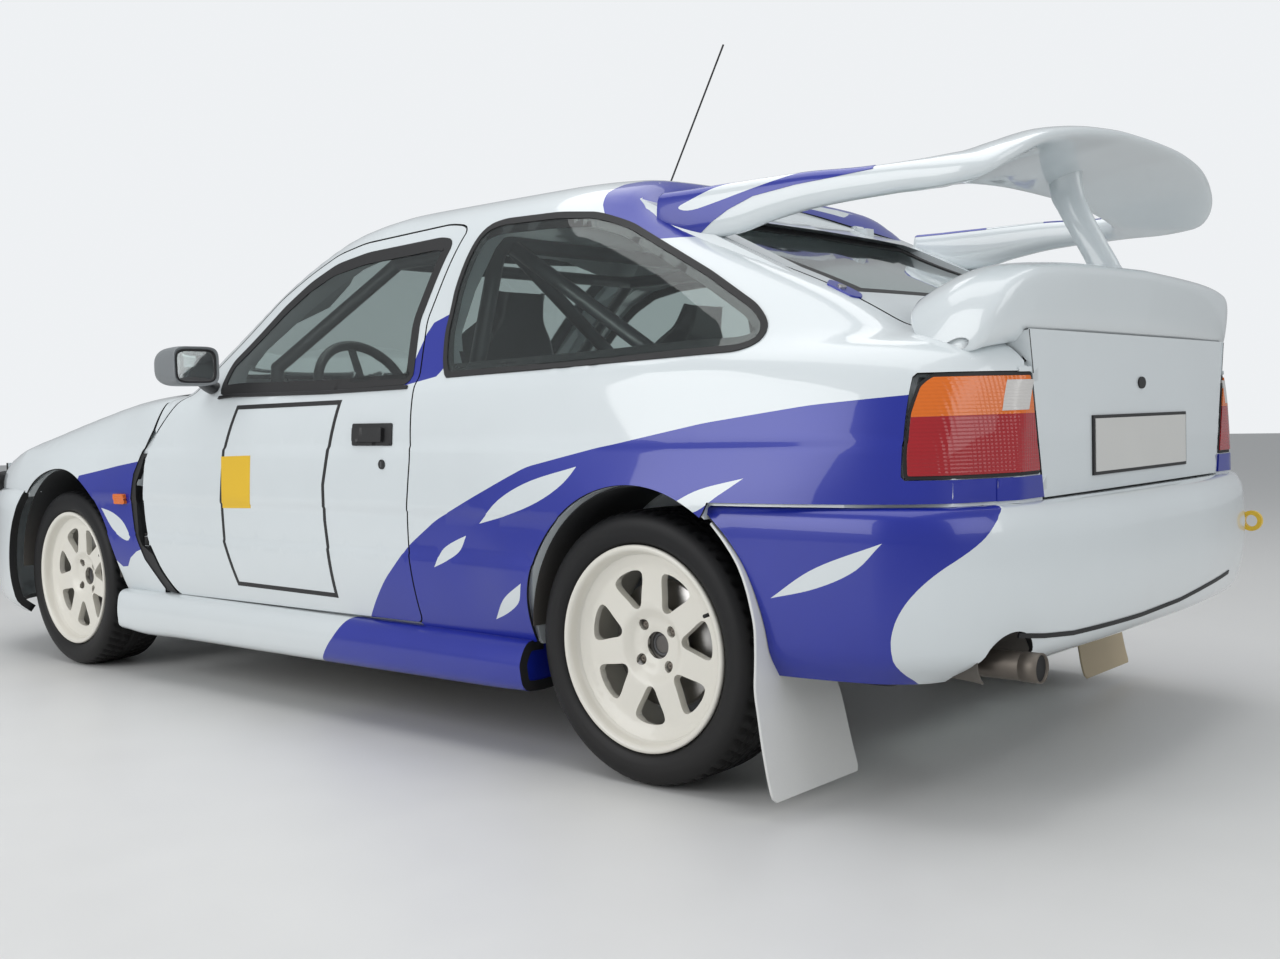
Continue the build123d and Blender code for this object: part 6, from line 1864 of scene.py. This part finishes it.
for side, sign in SIGNS:
    for number in range(5):
        back = 2560 + number * 52
        y_in, y_out = 150 * sign, 330 * sign
        # Near-black plate of painted shade under each louvre, for its slot.
        top_plate(f"louvre_gap_{side}_{number}", [(back, y_in), (back + 34, y_in), (back + 34, y_out),
                                                  (back, y_out)], "bonnet", RECESS_SHADE, 4.8, 1.0)
        top_plate(f"louvre_{side}_{number}", [(back + 12, y_in), (back + 40, y_in), (back + 40, y_out),
                                              (back + 12, y_out)], "bonnet",
                  WHITE, 11.0, 3.0, edge=1.0)
    pin = arc((3170, 420 * sign), 16, 0, 345, 24)
    top_plate(f"bonnet_pin_plate_{side}", pin, "bonnet", BLACK, 6.5, 3.0)
    top_plate(f"bonnet_pin_{side}", arc((3170, 420 * sign), 6, 0, 330, 12), "bonnet", DISC_STEEL, 16.0, 12.0,
              edge=1.0)
CATCH = np.array([(-306, 548), (-322, 580), (-384, 582), (-396, 560), (-380, 540), (-316, 536)], float)
for side, sign in SIGNS:
    top_plate(f"lid_catch_base_{side}", rounded(CATCH, 2, reach=12) * (1, sign), "tailgate", BLUE, 10.0, 6.0,
              edge=2.0)
    top_plate(f"lid_catch_pin_{side}", arc((-350, 560 * sign), 9, 0, 340, 20), "tailgate", DISC_STEEL, 17.0,
              8.0, edge=1.5)


def screen_foot(y):
    """Place of the screen's lower edge at a half-width."""
    return 2003.0 - 175.0 * (np.abs(y) / 712.0) ** 2


for number, (start, end, pivot) in enumerate(((40, 600, 120), (-560, -20, -470))):
    across = np.linspace(start, end, 24)
    foot = screen_foot(across) - 26
    blade = np.concatenate([np.stack([foot - 4, across], 1), np.stack([foot + 4, across], 1)[::-1]])
    middle = (start + end) / 2
    arm = np.array([(screen_foot(pivot) + 46, pivot - 7), (screen_foot(pivot) + 46, pivot + 7),
                    (screen_foot(middle) - 22, middle + 4), (screen_foot(middle) - 26, middle - 4)])
    signed = [np.stack([outline[:, 0], np.where(np.abs(outline[:, 1]) < 1, 1.0, outline[:, 1])],
                       1) for outline in (blade, arm)]
    top_plate(f"wiper_blade_{number}", signed[0], "chassis", BLACK, 12.0, 7.0, step=30)
    top_plate(f"wiper_arm_{number}", signed[1], "chassis", BLACK, 17.0, 6.0, step=30)

# %% [markdown]
# ## The room
# The car stands on a plain pale floor in even light. A large lamp hangs over it, one stands where
# the picture's window wall is, and a weaker one behind the camera fills the tail.
# %% Floor, world and lamps
floor_mesh = bpy.data.meshes.new("floor")
floor_mesh.from_pydata([(-30, -30, 0), (30, -30, 0), (30, 30, 0), (-30, 30, 0)], [], [(0, 1, 2, 3)])
floor = bpy.data.objects.new("floor", floor_mesh)
bpy.context.scene.collection.objects.link(floor)
floor_mesh.materials.append(finish("pale_floor", (0.70, 0.70, 0.69), 0.45, grain=60.0, depth=0.02,
                                   shade=0.02))
world = bpy.data.worlds.new("studio")
bpy.context.scene.world = world
world.use_nodes = True
room = world.node_tree.nodes["Background"]
room.inputs["Color"].default_value = (0.80, 0.83, 0.86, 1)
room.inputs["Strength"].default_value = 0.5
backdrop = world.node_tree.nodes.new("ShaderNodeBackground")
backdrop.inputs["Color"].default_value = (0.86, 0.88, 0.90, 1)
ray = world.node_tree.nodes.new("ShaderNodeLightPath")
choose = world.node_tree.nodes.new("ShaderNodeMixShader")
for output, socket in (
    (ray.outputs["Is Camera Ray"], choose.inputs[0]), (room.outputs[0], choose.inputs[1]),
    (backdrop.outputs[0], choose.inputs[2]), (choose.outputs[0],
                                              world.node_tree.nodes["World Output"].inputs["Surface"]),
):
    world.node_tree.links.new(output, socket)
for name, spot, size, power in (
    ("overhead", (0.0, 0.0, 5.5), 6.0, 185.0), ("window_side", (1.5, 6.5, 3.0), 4.5, 185.0),
    ("behind", (-6.5, 1.0, 3.2), 4.0, 90.0),
):
    lamp_data = bpy.data.lights.new(name, "AREA")
    lamp_data.energy = power
    lamp_data.size = size
    lamp = bpy.data.objects.new(name, lamp_data)
    lamp.location = spot
    lamp.rotation_euler = (Vector((0, 0, 0.6)) - Vector(spot)).to_track_quat("-Z", "Y").to_euler()
    bpy.context.scene.collection.objects.link(lamp)
bpy.context.scene.view_settings.view_transform = "Standard"
